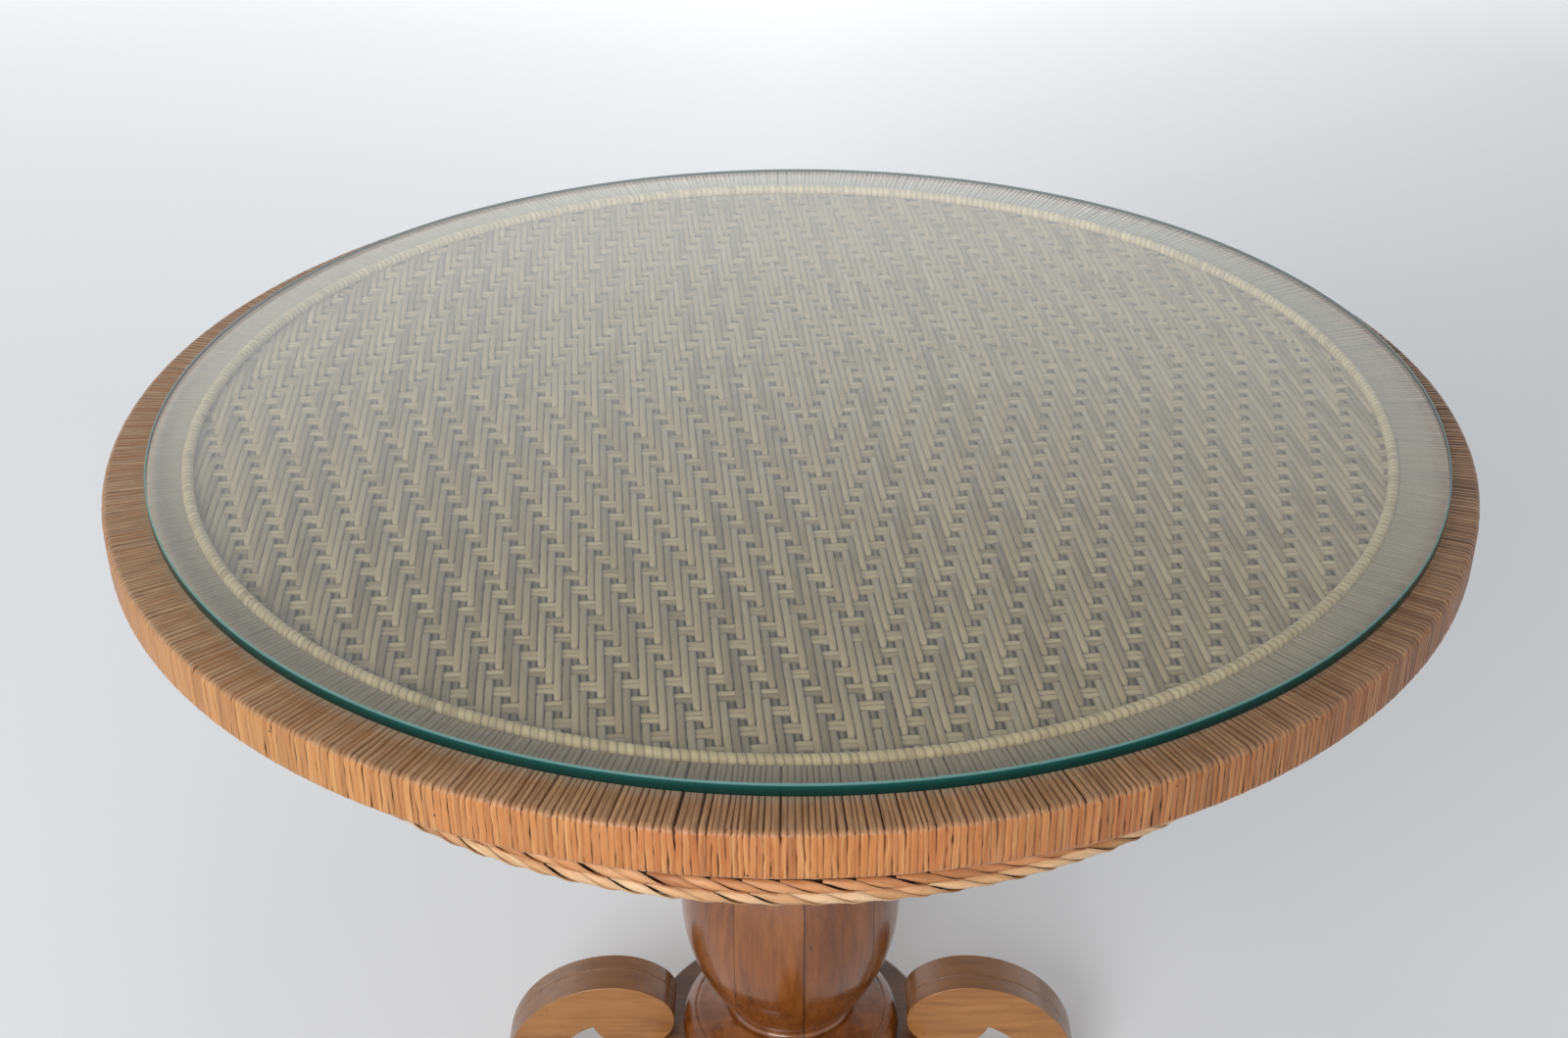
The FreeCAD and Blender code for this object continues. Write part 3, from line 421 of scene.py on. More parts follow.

# Rim binding: hundreds of narrow split canes laid side by side across the rim, over its rounded corners
# and down its side, tucked under at both ends. They are lacquered, brown with old dust and soil on top,
# and scuffed on the side. Painted sheen makes the left paler and the dust on top greyer there; painted
# shade darkens the right side and the grooves between canes, and the far left is darker too. The top
# under the glass is greyed, partly as dust and partly as a painted veil of the glass's reflection.
CANE_COUNT = 764
CANE_THICKNESS = 0.0013
CANE_FLAT = 0.0005
CANE_TURN_SPREAD = 0.16
CANE_WIDTH_SPREAD = 0.015
CANE_LEAN = 0.0004
CANE_WANDER = 0.0002
CANE_PROUD = 0.00022
CANE_TONE_RANGE = (0.36, 0.66)
LOOSE_SHARE = 0.2
LOOSE_FILL = (0.76, 0.92)
SIDE_SHARES = (0.25, 0.5, 0.75)
CORNER_STEPS = 4
RIM_CORNER = 0.005
RIM_TUCK = 0.008
SEAT_GAP = 0.0006
RIM_TONES = ((132, 74, 34), (202, 128, 68), (220, 157, 98))
RIM_COAT = 0.16
RIM_SPECULAR = 0.35
CANE_RED = (196, 112, 66)
SHEEN_STRAW = (206, 158, 92)
CANE_DEEP = (150, 96, 54)
CANE_PALE = (238, 190, 132)
CANE_DUST_AND_SHEEN = (206, 170, 132)
CANE_SOIL_AND_SHADE = (74, 42, 20)
GLASS_DUST_AND_VEIL = (158, 148, 130)
GLASS_MARK = (0.496, 0.506)
LEFT_PART = (-0.32, -0.08)
FAR_LEFT_PART = (-0.5, -0.4)
RIGHT_SHADE_PART = (0.05, 0.42)
DUST_AND_SHEEN_PART = (-0.5, -0.1)
TOP_LEAN = (0.3, 0.9)
SLIT_EDGE = (0.35, 1.0)
SCUFF_SCALE = (650.0, 14.0, 83.0)
SOIL_SCALE = (420.0, 30.0, 61.0)
TONE_SCALE = 997.0
PIN_COLOUR = (40, 22, 12)
PIN_SPACING = 0.0205
PIN_RADIUS = 0.0011
PIN_CORE = 0.6
STRAND_SMOOTH = math.radians(60)
FIBRE_DEPTH = 0.0003
FLECK_DARK = 0.6
EDGE_SOIL_AND_SHADE = (0.55, 1.0)
CLOUD_SHIFT = (-0.22, 0.23)
CANE_SECTION = np.array([(-1, 0.1), (-0.86, 0.74), (-0.45, 1), (0.45, 1), (0.86, 0.74), (1, 0.1)])
UPRIGHT = np.array((0.0, 0.0, 1.0))
chance = np.random.default_rng(11)


def gone_along(points):
    """How far along a row of points each one lies."""
    return np.concatenate(([0.0], np.cumsum(np.linalg.norm(np.diff(points, axis=0), axis=1))))


def sweep(name, section, runs, closed=False):
    """One mesh of many strands, each drawn along its rings of centre, side, up, width and height.

    The attribute "lie" holds the place across a strand, the place along it and the strand's own tone,
    and "edge" how near a point is to the edge of its strand.
    """
    points, faces, lies, base = [], [], [], 0
    count = len(section)
    girth = gone_along(section)
    for centre, side, up, wide, high, tone in runs:
        rings = len(centre)
        wide = np.broadcast_to(wide, rings)
        high = np.broadcast_to(high, rings)
        ring = centre[:, None] + (section[:, 0] * wide[:, None])[..., None] * side[:, None]
        ring = ring + (section[:, 1] * high[:, None])[..., None] * up[:, None]
        points.append(ring.reshape(-1, 3))
        lie = np.empty((rings, count, 3))
        lie[..., 0] = girth * wide[:, None]
        lie[..., 1] = gone_along(centre)[:, None]
        lie[..., 2] = np.broadcast_to(tone, rings)[:, None]
        lies.append(lie.reshape(-1, 3))
        spans = rings if closed else rings - 1
        here = np.arange(spans)[:, None] * count + np.arange(count)
        beside = np.arange(spans)[:, None] * count + np.roll(np.arange(count), -1)
        ahead = (here + count) % (rings * count)
        across = (beside + count) % (rings * count)
        faces += (base + np.stack((here, ahead, across, beside), -1).reshape(-1, 4)).tolist()
        if not closed:
            faces.append((base + np.arange(count)).tolist())
            faces.append((base + (rings - 1) * count + np.arange(count)[::-1]).tolist())
        base += rings * count
    mesh = bpy.data.meshes.new(name)
    mesh.from_pydata(np.concatenate(points).tolist(), [], faces)
    keep(mesh, "lie", np.concatenate(lies))
    keep(mesh, "edge", np.tile(np.abs(section[:, 0]), base // count))
    piece = new_piece(name, mesh)
    bpy.ops.object.mode_set(mode="EDIT")
    bpy.ops.mesh.select_all(action="SELECT")
    bpy.ops.mesh.normals_make_consistent(inside=False)
    bpy.ops.object.mode_set(mode="OBJECT")
    bpy.ops.object.shade_smooth_by_angle(angle=STRAND_SMOOTH)
    return piece


def make_cane_fibre():
    """Streaks along a strand, small dark flecks, and slow clouds of tone."""
    group, lie, out = new_group("cane_fibre", ("Streak", "Fleck", "Cloud"))
    for output, scale, low, high in (
        ("Streak", (1500.0, 26.0, 57.0), 0.34, 0.68),
        ("Fleck", (700.0, 160.0, 91.0), 0.62, 0.74),
        ("Cloud", (60.0, 16.0, 37.0), 0.3, 0.7),
    ):
        figure = noise(group, scaled(group, lie, scale), 1.0, 3.0, 0.6)
        group.links.new(spread(group, figure, low, high), out[output])
    return group


cane_fibre = make_cane_fibre()


def cane(name, tones, rough=0.5, streak_share=0.35, fleck_share=0.5, coat=0.0, edge_soil_and_shade=0.3):
    """Split cane or reed: a tone for each strand, with streaks, a few dark flecks, and edges darkened
    partly by dirt and partly as painted shade.
    """
    material, tree, shade = new_material(name)
    lie = kept(tree, "lie", "Vector")
    fibre = placed_group(tree, cane_fibre, lie)
    shifted = spread(tree, fibre["Cloud"], 0.0, 1.0, *CLOUD_SHIFT)
    colour = toned(tree, maths(tree, "ADD", split(tree, lie)[2], shifted), tones)
    dark = [value * FLECK_DARK for value in tones[0]]
    colour = stained(tree, times(tree, fibre["Streak"], streak_share), colour, tones[0])
    colour = stained(tree, times(tree, fibre["Fleck"], fleck_share), colour, dark)
    # Edges darkened, partly dirt and partly painted shade in the grooves between strands.
    colour = stained(tree, spread(tree, kept(tree, "edge"), *EDGE_SOIL_AND_SHADE, 0.0, edge_soil_and_shade), colour, dark)
    tree.links.new(colour, shade.inputs["Base Color"])
    dull = spread(tree, fibre["Streak"], 0.0, 1.0, rough - 0.08, rough + 0.14)
    tree.links.new(dull, shade.inputs["Roughness"])
    sunk = {"Height": fibre["Streak"], "Strength": 0.35, "Distance": FIBRE_DEPTH}
    tree.links.new(shader(tree, "Bump", sunk, invert=True).outputs[0], shade.inputs["Normal"])
    shade.inputs["Coat Weight"].default_value = coat
    shade.inputs["Coat Roughness"].default_value = 0.2
    return material


def from_axis(tree, place):
    """How far a place is from the table's upright axis."""
    level = shader(tree, "VectorMath", {0: place, 1: (1.0, 1.0, 0.0)}, operation="MULTIPLY").outputs[0]
    return shader(tree, "VectorMath", {0: level}, operation="LENGTH").outputs["Value"]


def outward(angles):
    """The level directions away from the table's axis."""
    return np.stack((np.cos(angles), np.sin(angles), np.zeros(len(angles))), 1)


def onward(angles):
    """The level directions round the table's axis."""
    return np.stack((-np.sin(angles), np.cos(angles), np.zeros(len(angles))), 1)


wrap_low, wrap_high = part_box("rim_wrap")
bead_low, bead_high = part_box("rim_bead")
rim_radius, rim_top, rim_bottom = wrap_high.x, wrap_high.z, wrap_low.z
bead_radius = (bead_high.z - bead_low.z) / 2
bead_ring = bead_high.x - bead_radius
tuck_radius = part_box("apron_weave")[1].x + RIM_TUCK
side_radius = rim_radius - RIM_CORNER


def rim_profile():
    """The binding's way round the rim: radius, height and outward direction at each ring."""
    way = [(tuck_radius, rim_bottom, 0.0, -1.0)]
    quarter = [math.pi / 2 * step / CORNER_STEPS for step in range(CORNER_STEPS + 1)]
    lower = [(math.sin(turn), -math.cos(turn)) for turn in quarter]
    upper = [(math.cos(turn), math.sin(turn)) for turn in quarter]
    for out, up in lower:
        way.append((side_radius + RIM_CORNER * out, rim_bottom + RIM_CORNER * (1 + up), out, up))
    for share in SIDE_SHARES:
        rise = RIM_CORNER + share * (rim_top - rim_bottom - 2 * RIM_CORNER)
        way.append((rim_radius, rim_bottom + rise, 1.0, 0.0))
    for out, up in upper:
        way.append((side_radius + RIM_CORNER * out, rim_top + RIM_CORNER * (up - 1), out, up))
    seat = bead_ring + bead_radius
    way += [((side_radius + seat) / 2, rim_top, 0.0, 1.0), (seat + SEAT_GAP, rim_top, 0.0, 1.0)]
    return np.array(way)


def rim_canes():
    """The run of every cane in the binding, each with its own width, lean and tone."""
    way = rim_profile()
    widths = 1 + CANE_TURN_SPREAD * chance.standard_normal(CANE_COUNT).clip(-2, 2)
    turns = 2 * math.pi * widths / widths.sum()
    middles = np.cumsum(turns) - turns / 2
    climb = (way[:, 1] - rim_bottom) / (rim_top - rim_bottom) - 0.5
    high = CANE_FLAT + (CANE_THICKNESS - CANE_FLAT) * np.clip(way[:, 3], 0, 1)
    slit_rings = CORNER_STEPS + 2 + np.arange(len(SIDE_SHARES))
    for turn, middle in zip(turns, middles):
        loose = chance.random() < LOOSE_SHARE
        lean = CANE_LEAN / rim_radius * chance.standard_normal() * (2 if loose else 1)
        angle = middle + lean * climb + CANE_WANDER / rim_radius * chance.standard_normal(len(way))
        out = outward(angle)
        up = out * way[:, 2:3] + UPRIGHT * way[:, 3:4]
        proud = CANE_PROUD * chance.uniform(-1, 0)
        centre = out * way[:, 0:1] + UPRIGHT * way[:, 1:2] - up * (high - proud)[:, None]
        fill = np.ones(len(way))
        if loose:
            fill[chance.choice(slit_rings)] = chance.uniform(*LOOSE_FILL)
        fill = fill + CANE_WIDTH_SPREAD * chance.standard_normal(len(way)).clip(-2, 0.5)
        wide = way[:, 0] * turn / 2 * fill
        yield centre, onward(angle), up, wide, high, chance.uniform(*CANE_TONE_RANGE)


rim_cane = cane("rim_cane", RIM_TONES, 0.42, streak_share=0.3, coat=RIM_COAT, edge_soil_and_shade=0.24)
tree, shade, colour = opened(rim_cane)
shade.inputs["Specular IOR Level"].default_value = RIM_SPECULAR
place = own_place(tree)
lie = kept(tree, "lie", "Vector")
edge = kept(tree, "edge")
sideways = split(tree, place)[0]
# Painted shade: this mask darkens the right side of the rim.
right_shade_mask = spread(tree, sideways, *RIGHT_SHADE_PART)
on_top = facing_up(tree, *TOP_LEAN)
on_side = maths(tree, "SUBTRACT", 1.0, on_top)
flushed = spread(tree, noise(tree, place, 11.0, 3.0, 0.6), 0.46, 0.68, 0.0, 0.42)
# Painted sheen: the left is paler and yellower.
painted_left_sheen = spread(tree, sideways, *LEFT_PART, 0.4, 0.0)
# Darker at the far left, and darker on the right as painted shade.
far_left_dark_and_right_shade = spread(tree, sideways, *FAR_LEFT_PART, 0.6, 0.0)
far_left_dark_and_right_shade = maths(tree, "MAXIMUM", far_left_dark_and_right_shade, times(tree, right_shade_mask, 0.55))
scuffed = spread(tree, noise(tree, scaled(tree, lie, SCUFF_SCALE), 1.0, 3.0, 0.6), 0.5, 0.72, 0.0, 0.5)
# Dust on top, greyer towards the left as painted sheen.
dust_and_left_sheen = spread(tree, sideways, *DUST_AND_SHEEN_PART, 0.8, 0.64)
# Soil streaks on top, with painted shade added in the grooves between canes.
soil_and_groove_shade = spread(tree, noise(tree, scaled(tree, lie, SOIL_SCALE), 1.0, 3.0, 0.65), 0.36, 0.66, 0.0, 0.46)
soil_and_groove_shade = maths(tree, "ADD", soil_and_groove_shade, spread(tree, edge, *SLIT_EDGE, 0.0, 0.7))
# Painted shade in the grooves, used on the right side.
groove_shade = spread(tree, edge, *SLIT_EDGE, 0.0, 0.66)
own_tone = times(tree, split(tree, lie)[2], TONE_SCALE)
chosen = shader(tree, "TexWhiteNoise", {"W": own_tone}, noise_dimensions="1D").outputs["Value"]
chosen = spread(tree, chosen, 0.5, 1.0, 0.0, 0.6)
striped = spread(tree, sideways, *LEFT_PART, 1.0, 0.25)
# Greyer on top under the glass, partly dust and partly a painted veil of the glass's reflection.
dust_and_veil_under_glass = spread(tree, from_axis(tree, place), *GLASS_MARK, 0.6, 0.0)
pins = shader(tree, "TexVoronoi", {"Vector": place, "Scale": 1 / PIN_SPACING}).outputs["Distance"]
pin_share = PIN_RADIUS / PIN_SPACING
pinned = spread(tree, pins, PIN_CORE * pin_share, pin_share, 0.9, 0.0)
rim_layers = (
    (flushed, CANE_RED),
    (painted_left_sheen, SHEEN_STRAW),
    (far_left_dark_and_right_shade, CANE_DEEP),
    (times(tree, scuffed, on_side), CANE_PALE),
    (times(tree, dust_and_left_sheen, on_top), CANE_DUST_AND_SHEEN),
    (times(tree, soil_and_groove_shade, on_top), CANE_SOIL_AND_SHADE),
    (times(tree, groove_shade, right_shade_mask), CANE_SOIL_AND_SHADE),
    (times(tree, chosen, striped), CANE_DEEP),
    (times(tree, chosen, right_shade_mask), CANE_SOIL_AND_SHADE),
    (times(tree, dust_and_veil_under_glass, on_top), GLASS_DUST_AND_VEIL),
    (times(tree, pinned, on_side), PIN_COLOUR),
)
for share, stain in rim_layers:
    colour = stained(tree, share, colour, stain)
tree.links.new(colour, shade.inputs["Base Color"])
rim_binding = sweep("rim_binding", CANE_SECTION, rim_canes())
finish_piece(rim_binding, rim_cane, "table", "rim_cane", "rim_wrap")

# Apron skin: reed woven plainly round upright stakes, standing on the hoop under the rim.
# It is left dull, without lacquer, and shows only from low down.
STAKE_COUNT = 172
STAKE_WIDTH = 0.0046
STAKE_THICKNESS = 0.0016
STEPS_PER_STAKE = 3
WEAVER_COUNT = 15
WEAVER_SWING = 0.001
WEAVER_THICKNESS = 0.0015
WEAVER_FILL = 0.98
WALL_GAP = 0.0003
APRON_TONES = ((138, 90, 50), (200, 142, 90), (220, 172, 122))
APRON_TONE_RANGE = (0.2, 0.8)
REED_SECTION = np.array([(-1, 0.1), (-0.92, 0.7), (-0.56, 1), (0.56, 1), (0.92, 0.7), (1, 0.1)])
apron_low, apron_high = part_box("apron_weave")
apron_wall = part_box("apron_segment_1")[1].x + WALL_GAP
weaver_height = (apron_high.z - apron_low.z) / WEAVER_COUNT


def all_round(count):
    """Even steps of angle all the way round."""
    return np.arange(count) * 2 * math.pi / count


def apron_weavers():
    """Every weaver, a ring that swings in and out round the stakes."""
    angle = all_round(STAKE_COUNT * STEPS_PER_STAKE)
    out = outward(angle)
    side = np.tile(UPRIGHT, (len(angle), 1))
    for row in range(WEAVER_COUNT):
        swing = WEAVER_SWING * np.cos(angle * STAKE_COUNT / 2 + row * math.pi)
        centre = out * (apron_wall + WEAVER_SWING + swing)[:, None]
        centre[:, 2] = apron_low.z + (row + 0.5) * weaver_height
        wide = weaver_height / 2 * WEAVER_FILL
        yield centre, side, out, wide, WEAVER_THICKNESS, chance.uniform(*APRON_TONE_RANGE)


def apron_stakes():
    """Every stake, an upright reed that the weavers pass before and behind."""
    for angle in all_round(STAKE_COUNT):
        ends = np.full(2, angle)
        out = outward(ends)
        centre = out * (apron_wall + WEAVER_SWING / 2)
        centre[:, 2] = apron_low.z, apron_high.z
        tone = chance.uniform(*APRON_TONE_RANGE)
        yield centre, onward(ends), out, STAKE_WIDTH / 2, STAKE_THICKNESS, tone


apron_cane = cane("apron_cane", APRON_TONES, 0.55)
apron_skin = sweep("apron_skin", REED_SECTION, apron_weavers(), closed=True)
finish_piece(apron_skin, apron_cane, "table", "apron_cane", "apron_weave")
stakes = sweep("apron_stakes", REED_SECTION, apron_stakes())
finish_piece(stakes, apron_cane, "table", "apron_cane", "apron_weave")

# Braid: two rows of flat cane, each twisted like a rope along the apron's lower edge.
# Every strand comes up behind the row, crosses its face down to the right and tucks under again. A dark
# cord fills each row; its dark colour is painted shade that shows in the gaps between the strands.
BRAID_PITCH = 0.0235
BRAID_RUN = 0.054
BRAID_STRAND = 0.0040
BRAID_FLAT = 0.0021
BRAID_SINK = 0.8
BRAID_RINGS = 13
BRAID_SWEEP = math.radians(112)
BRAID_TILT = math.radians(14)
BRAID_DRIFT = (-0.12, 0.12)
BRAID_RUN_SPREAD = (0.92, 1.08)
BRAID_WIDTH_SPREAD = (0.88, 1.08)
BRAID_TONE_RANGE = (0.15, 0.85)
BRAID_WAIST = 0.55
BRAID_FULLNESS = 0.7
BRAID_ROWS = (
    ("braid_lower", ((164, 110, 62), (232, 184, 134), (248, 220, 180))),
    ("braid_upper", ((154, 94, 50), (224, 156, 102), (236, 184, 134))),
)
CORE_SIDES = 6
CORE_STEPS = 192
CORE_SHARE = 0.66
CORE_SHADE_TONES = ((46, 26, 14), (70, 42, 24), (90, 58, 34))
FLAT_SECTION = np.array([(-1, 0.2), (-0.7, 0.85), (0, 1), (0.7, 0.85), (1, 0.2), (0, -0.1)])
braid_low, braid_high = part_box("apron_braid")
row_height = (braid_high.z - braid_low.z) / 2
row_depth = (braid_high.x - apron_wall) / 2


def round_section(sides):
    """The section of a round strand."""
    return outward(all_round(sides))[:, :2]


def row_level(row):
    """The height of a braid row's middle."""
    return braid_low.z + (row + 0.5) * row_height


def braid_strands(row):
    """The strands of one braid row, each on a part of a flattened helix."""
    count = round(2 * math.pi * braid_high.x / BRAID_PITCH)
    share = np.linspace(-1, 1, BRAID_RINGS)
    turn = share * BRAID_SWEEP
    reach = apron_wall + row_depth + (row_depth - BRAID_FLAT) * np.cos(turn)
    height = row_level(row) - (row_height / 2 - BRAID_FLAT * BRAID_SINK) * np.sin(turn)
    taper = BRAID_WAIST + (1 - BRAID_WAIST) * np.clip(np.cos(turn), 0, 1) ** BRAID_FULLNESS
    for index in range(count):
        start = (index + chance.uniform(*BRAID_DRIFT)) * 2 * math.pi / count
        angle = start + share * BRAID_RUN / 2 / braid_high.x * chance.uniform(*BRAID_RUN_SPREAD)
        out = outward(angle)
        up = out * np.cos(turn)[:, None] - UPRIGHT * np.sin(turn)[:, None]
        centre = out * reach[:, None] + UPRIGHT * height[:, None]
        ahead = np.gradient(centre, axis=0)
        ahead /= np.linalg.norm(ahead, axis=1)[:, None]
        side = np.cross(ahead, up)
        tilted = up * math.cos(BRAID_TILT) + side * math.sin(BRAID_TILT)
        side = side * math.cos(BRAID_TILT) - up * math.sin(BRAID_TILT)
        wide = BRAID_STRAND * chance.uniform(*BRAID_WIDTH_SPREAD) * taper
        yield centre, side, tilted, wide, BRAID_FLAT, chance.uniform(*BRAID_TONE_RANGE)


def braid_core(row):
    """The cord that the strands of a row are wound on, coloured dark as painted shade between them."""
    out = outward(all_round(CORE_STEPS))
    centre = out * (apron_wall + row_depth * CORE_SHARE)
    centre[:, 2] = row_level(row)
    up = np.tile(UPRIGHT, (CORE_STEPS, 1))
    yield centre, out, up, row_depth * CORE_SHARE, row_height / 2 * CORE_SHARE, 0.5


# The core is dark as painted shade behind the strands.
shade_core_cane = cane("shade_core_cane", CORE_SHADE_TONES, 0.6)
for row, (name, tones) in enumerate(BRAID_ROWS):
    core = sweep(name + "_core", round_section(CORE_SIDES), braid_core(row), closed=True)
    finish_piece(core, shade_core_cane, "table", "braid_cane", "apron_braid")
    strands = sweep(name, FLAT_SECTION, braid_strands(row))
    finish_piece(strands, cane(name, tones, streak_share=0.5), "table", "braid_cane", "apron_braid")

# Woven panel: half-round reeds in a diamond twill on the backing board. Single warps run front to back
# over three rows and under two; the rows are pairs of weft reeds. The weave leans a little and fans out
# towards the front, and its low places are darker, partly as dirt and partly as painted shade.
WARP_PITCH = 0.0054
WARP_REED = 0.0052
WARP_HEIGHT = 0.0021
WARP_WIDTH_SPREAD = (0.96, 1.03)
WARP_LEVELS = (0.0001, 0.0037)
WARP_TONES = ((133, 110, 84), (176, 148, 116), (189, 163, 131))
FRONT_ROW_PITCH = 0.0195
BACK_ROW_PITCH = 0.0176
WEFT_REED = 0.0050
WEFT_HEIGHT = 0.0022
WEFT_WIDTH_SPREAD = (0.93, 1.05)
WEFT_LEVELS = (0.0016, 0.0020)
WEFT_TONES = ((143, 119, 90), (186, 158, 123), (201, 175, 140))
PAIR_OFFSET = 0.0026
PAIR_HALF = 0.0053
DIVE_LENGTH = 0.0038
DIVE_MIDDLE = 0.43
DIVE_WAIST = 0.8
FLOAT_ARCH = 0.00015
TWILL_REPEAT = 5
WEFT_FLOAT = 2
TWILL_CENTRE = (0.0062, 0.0627)
WEAVE_LEAN = math.radians(5.6)
WEAVE_FAN = 20.0
WEAVE_MARGIN = 0.001
REED_WANDER = 0.00018
SPARE_WARPS = 1.1
SPARE_ROWS = 5
LOW_SHADE_AND_DIRT_COLOUR = (105, 89, 64)
LOW_SHADE_AND_DIRT_LEVELS = (0.0014, 0.0041)
LOW_SHADE_AND_DIRT_SHARE = 0.8
panel_low, panel_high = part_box("woven_panel")
weave_radius = panel_high.x - WEAVE_MARGIN
warp_reach = math.ceil(weave_radius / WARP_PITCH * SPARE_WARPS)
row_reach = math.ceil(weave_radius / BACK_ROW_PITCH) + SPARE_ROWS
spine = np.array(TWILL_CENTRE)
along = np.array((math.sin(WEAVE_LEAN), -math.cos(WEAVE_LEAN)))
across = np.array((math.cos(WEAVE_LEAN), math.sin(WEAVE_LEAN)))


def weft_on_top(warp, row):
    """True where a weft row crosses over a warp, both counted from the centre of the diamonds."""
    return (abs(warp) + abs(row) + 1) % TWILL_REPEAT < WEFT_FLOAT


def row_place(row):
    """How far towards the front a row lies from the centre of the diamonds."""
    return row * (FRONT_ROW_PITCH if row > 0 else BACK_ROW_PITCH)


def chord(start, heading):
    """Where a straight line enters and leaves the panel, or None."""
    a = heading @ heading
    b = start @ heading
    c = start @ start - weave_radius ** 2
    inside = b * b - a * c
    if inside <= 0:
        return None
    return (-b - math.sqrt(inside)) / a, (-b + math.sqrt(inside)) / a


def reed_run(start, heading, stops, sideways, high):
    """A reed laid along a line, through stops that hold a station, a level and a half width."""
    stations, levels, widths = np.array(stops).T
    flat = start + heading * stations[:, None]
    flat = flat + sideways * (REED_WANDER * chance.standard_normal(len(stops)))[:, None]
    centre = np.column_stack((flat, panel_low.z + levels))
    side = np.tile((*sideways, 0.0), (len(stops), 1))
    up = np.tile(UPRIGHT, (len(stops), 1))
    return centre, side, up, widths, high, chance.uniform(0, 1)


def warp_run(warp):
    """One warp reed, which dives steeply beside the wefts that cross over it, or None off the panel."""
    fan = warp * WARP_PITCH / WEAVE_FAN
    start = spine + across * (WEAVE_FAN * fan)
    heading = along + across * fan
    ends = chord(start, heading)
    if ends is None:
        return None
    rows = [row for row in range(-row_reach, row_reach + 1) if ends[0] < row_place(row) < ends[1]]
    if len(rows) < 2:
        return None
    half = WARP_REED / 2 * chance.uniform(*WARP_WIDTH_SPREAD)
    low, high = WARP_LEVELS
    level = {row: low if weft_on_top(warp, row) else high for row in rows}
    stops = [(ends[0], level[rows[0]], half)]
    for row, following in zip(rows, rows[1:]):
        if level[row] == level.get(row - 1) == level[following] == high:
            stops.append((row_place(row), high + FLOAT_ARCH, half))
        if level[row] != level[following]:
            rising = level[row] == low
            edge = row_place(row) + PAIR_HALF if rising else row_place(following) - PAIR_HALF
            away = DIVE_LENGTH if rising else -DIVE_LENGTH
            dive = [
                (edge, low, half * DIVE_WAIST),
                (edge + DIVE_MIDDLE * away, (low + high) / 2, half * (1 + DIVE_WAIST) / 2),
                (edge + away, high, half),
            ]
            stops += dive if rising else reversed(dive)
    stops.append((ends[1], level[rows[-1]], half))
    return reed_run(start, heading, stops, across, WARP_HEIGHT)


def weft_run(row, member):
    """One of the two weft reeds of a row, or None where it misses the panel."""
    reach = row_place(row) + member * PAIR_OFFSET
    start = spine + along * reach
    ends = chord(start, across)
    if ends is None:
        return None
    pitch = (WEAVE_FAN + reach) * WARP_PITCH / WEAVE_FAN
    warps = list(range(math.ceil(ends[0] / pitch), math.floor(ends[1] / pitch) + 1))
    if len(warps) < 2:
        return None
    half = WEFT_REED / 2 * chance.uniform(*WEFT_WIDTH_SPREAD)
    low, high = WEFT_LEVELS
    level = {warp: high if weft_on_top(warp, row) else low for warp in warps}
    stops = [(ends[0], level[warps[0]], half)]
    for warp in warps[:-1]:
        if level[warp] != level[warp + 1]:
            stops.append(((warp + 0.5) * pitch, (low + high) / 2, half))
        elif level[warp] == high:
            stops.append(((warp + 0.5) * pitch, high + FLOAT_ARCH, half))
    stops.append((ends[1], level[warps[-1]], half))
    return reed_run(start, across, stops, along, WEFT_HEIGHT)


def make_low_shade_and_dirt():
    """How much a place is darkened, partly as dirt and partly as painted shade, growing towards the
    bottom of the weave.
    """
    group, place, out = new_group("low_shade_and_dirt", ("Share",))
    levels = (panel_low.z + level for level in LOW_SHADE_AND_DIRT_LEVELS)
    group.links.new(spread(group, split(group, place)[2], *levels, LOW_SHADE_AND_DIRT_SHARE, 0.0), out["Share"])
    return group


low_shade_and_dirt = make_low_shade_and_dirt()


def low_shaded_dirty_reed(name, tones, fleck_share):
    """The reed of the weave, darkened in its low places partly by dirt and partly as painted shade."""
    material = cane(name, tones, 0.55, streak_share=0.25, fleck_share=fleck_share, edge_soil_and_shade=0.22)
    tree, shade, colour = opened(material)
    # Dirt and painted shade darken the reed towards the bottom of the weave.
    dirt = placed_group(tree, low_shade_and_dirt, own_place(tree))["Share"]
    tree.links.new(stained(tree, dirt, colour, LOW_SHADE_AND_DIRT_COLOUR), shade.inputs["Base Color"])
    return material


warp_reed = low_shaded_dirty_reed("warp_reed", WARP_TONES, 0.3)
weft_reed = low_shaded_dirty_reed("weft_reed", WEFT_TONES, 0.25)
for name, warps in (("warps_left", range(-warp_reach, 0)), ("warps_right", range(0, warp_reach + 1))):
    runs = [run for run in map(warp_run, warps) if run]
    finish_piece(sweep(name, REED_SECTION, runs), warp_reed, "table", "woven_reed", "woven_panel")
for name, rows in (("wefts_back", range(-row_reach, 0)), ("wefts_front", range(0, row_reach + 1))):
    runs = [run for row in rows for run in (weft_run(row, -1), weft_run(row, 1)) if run]
    finish_piece(sweep(name, REED_SECTION, runs), weft_reed, "table", "woven_reed", "woven_panel")

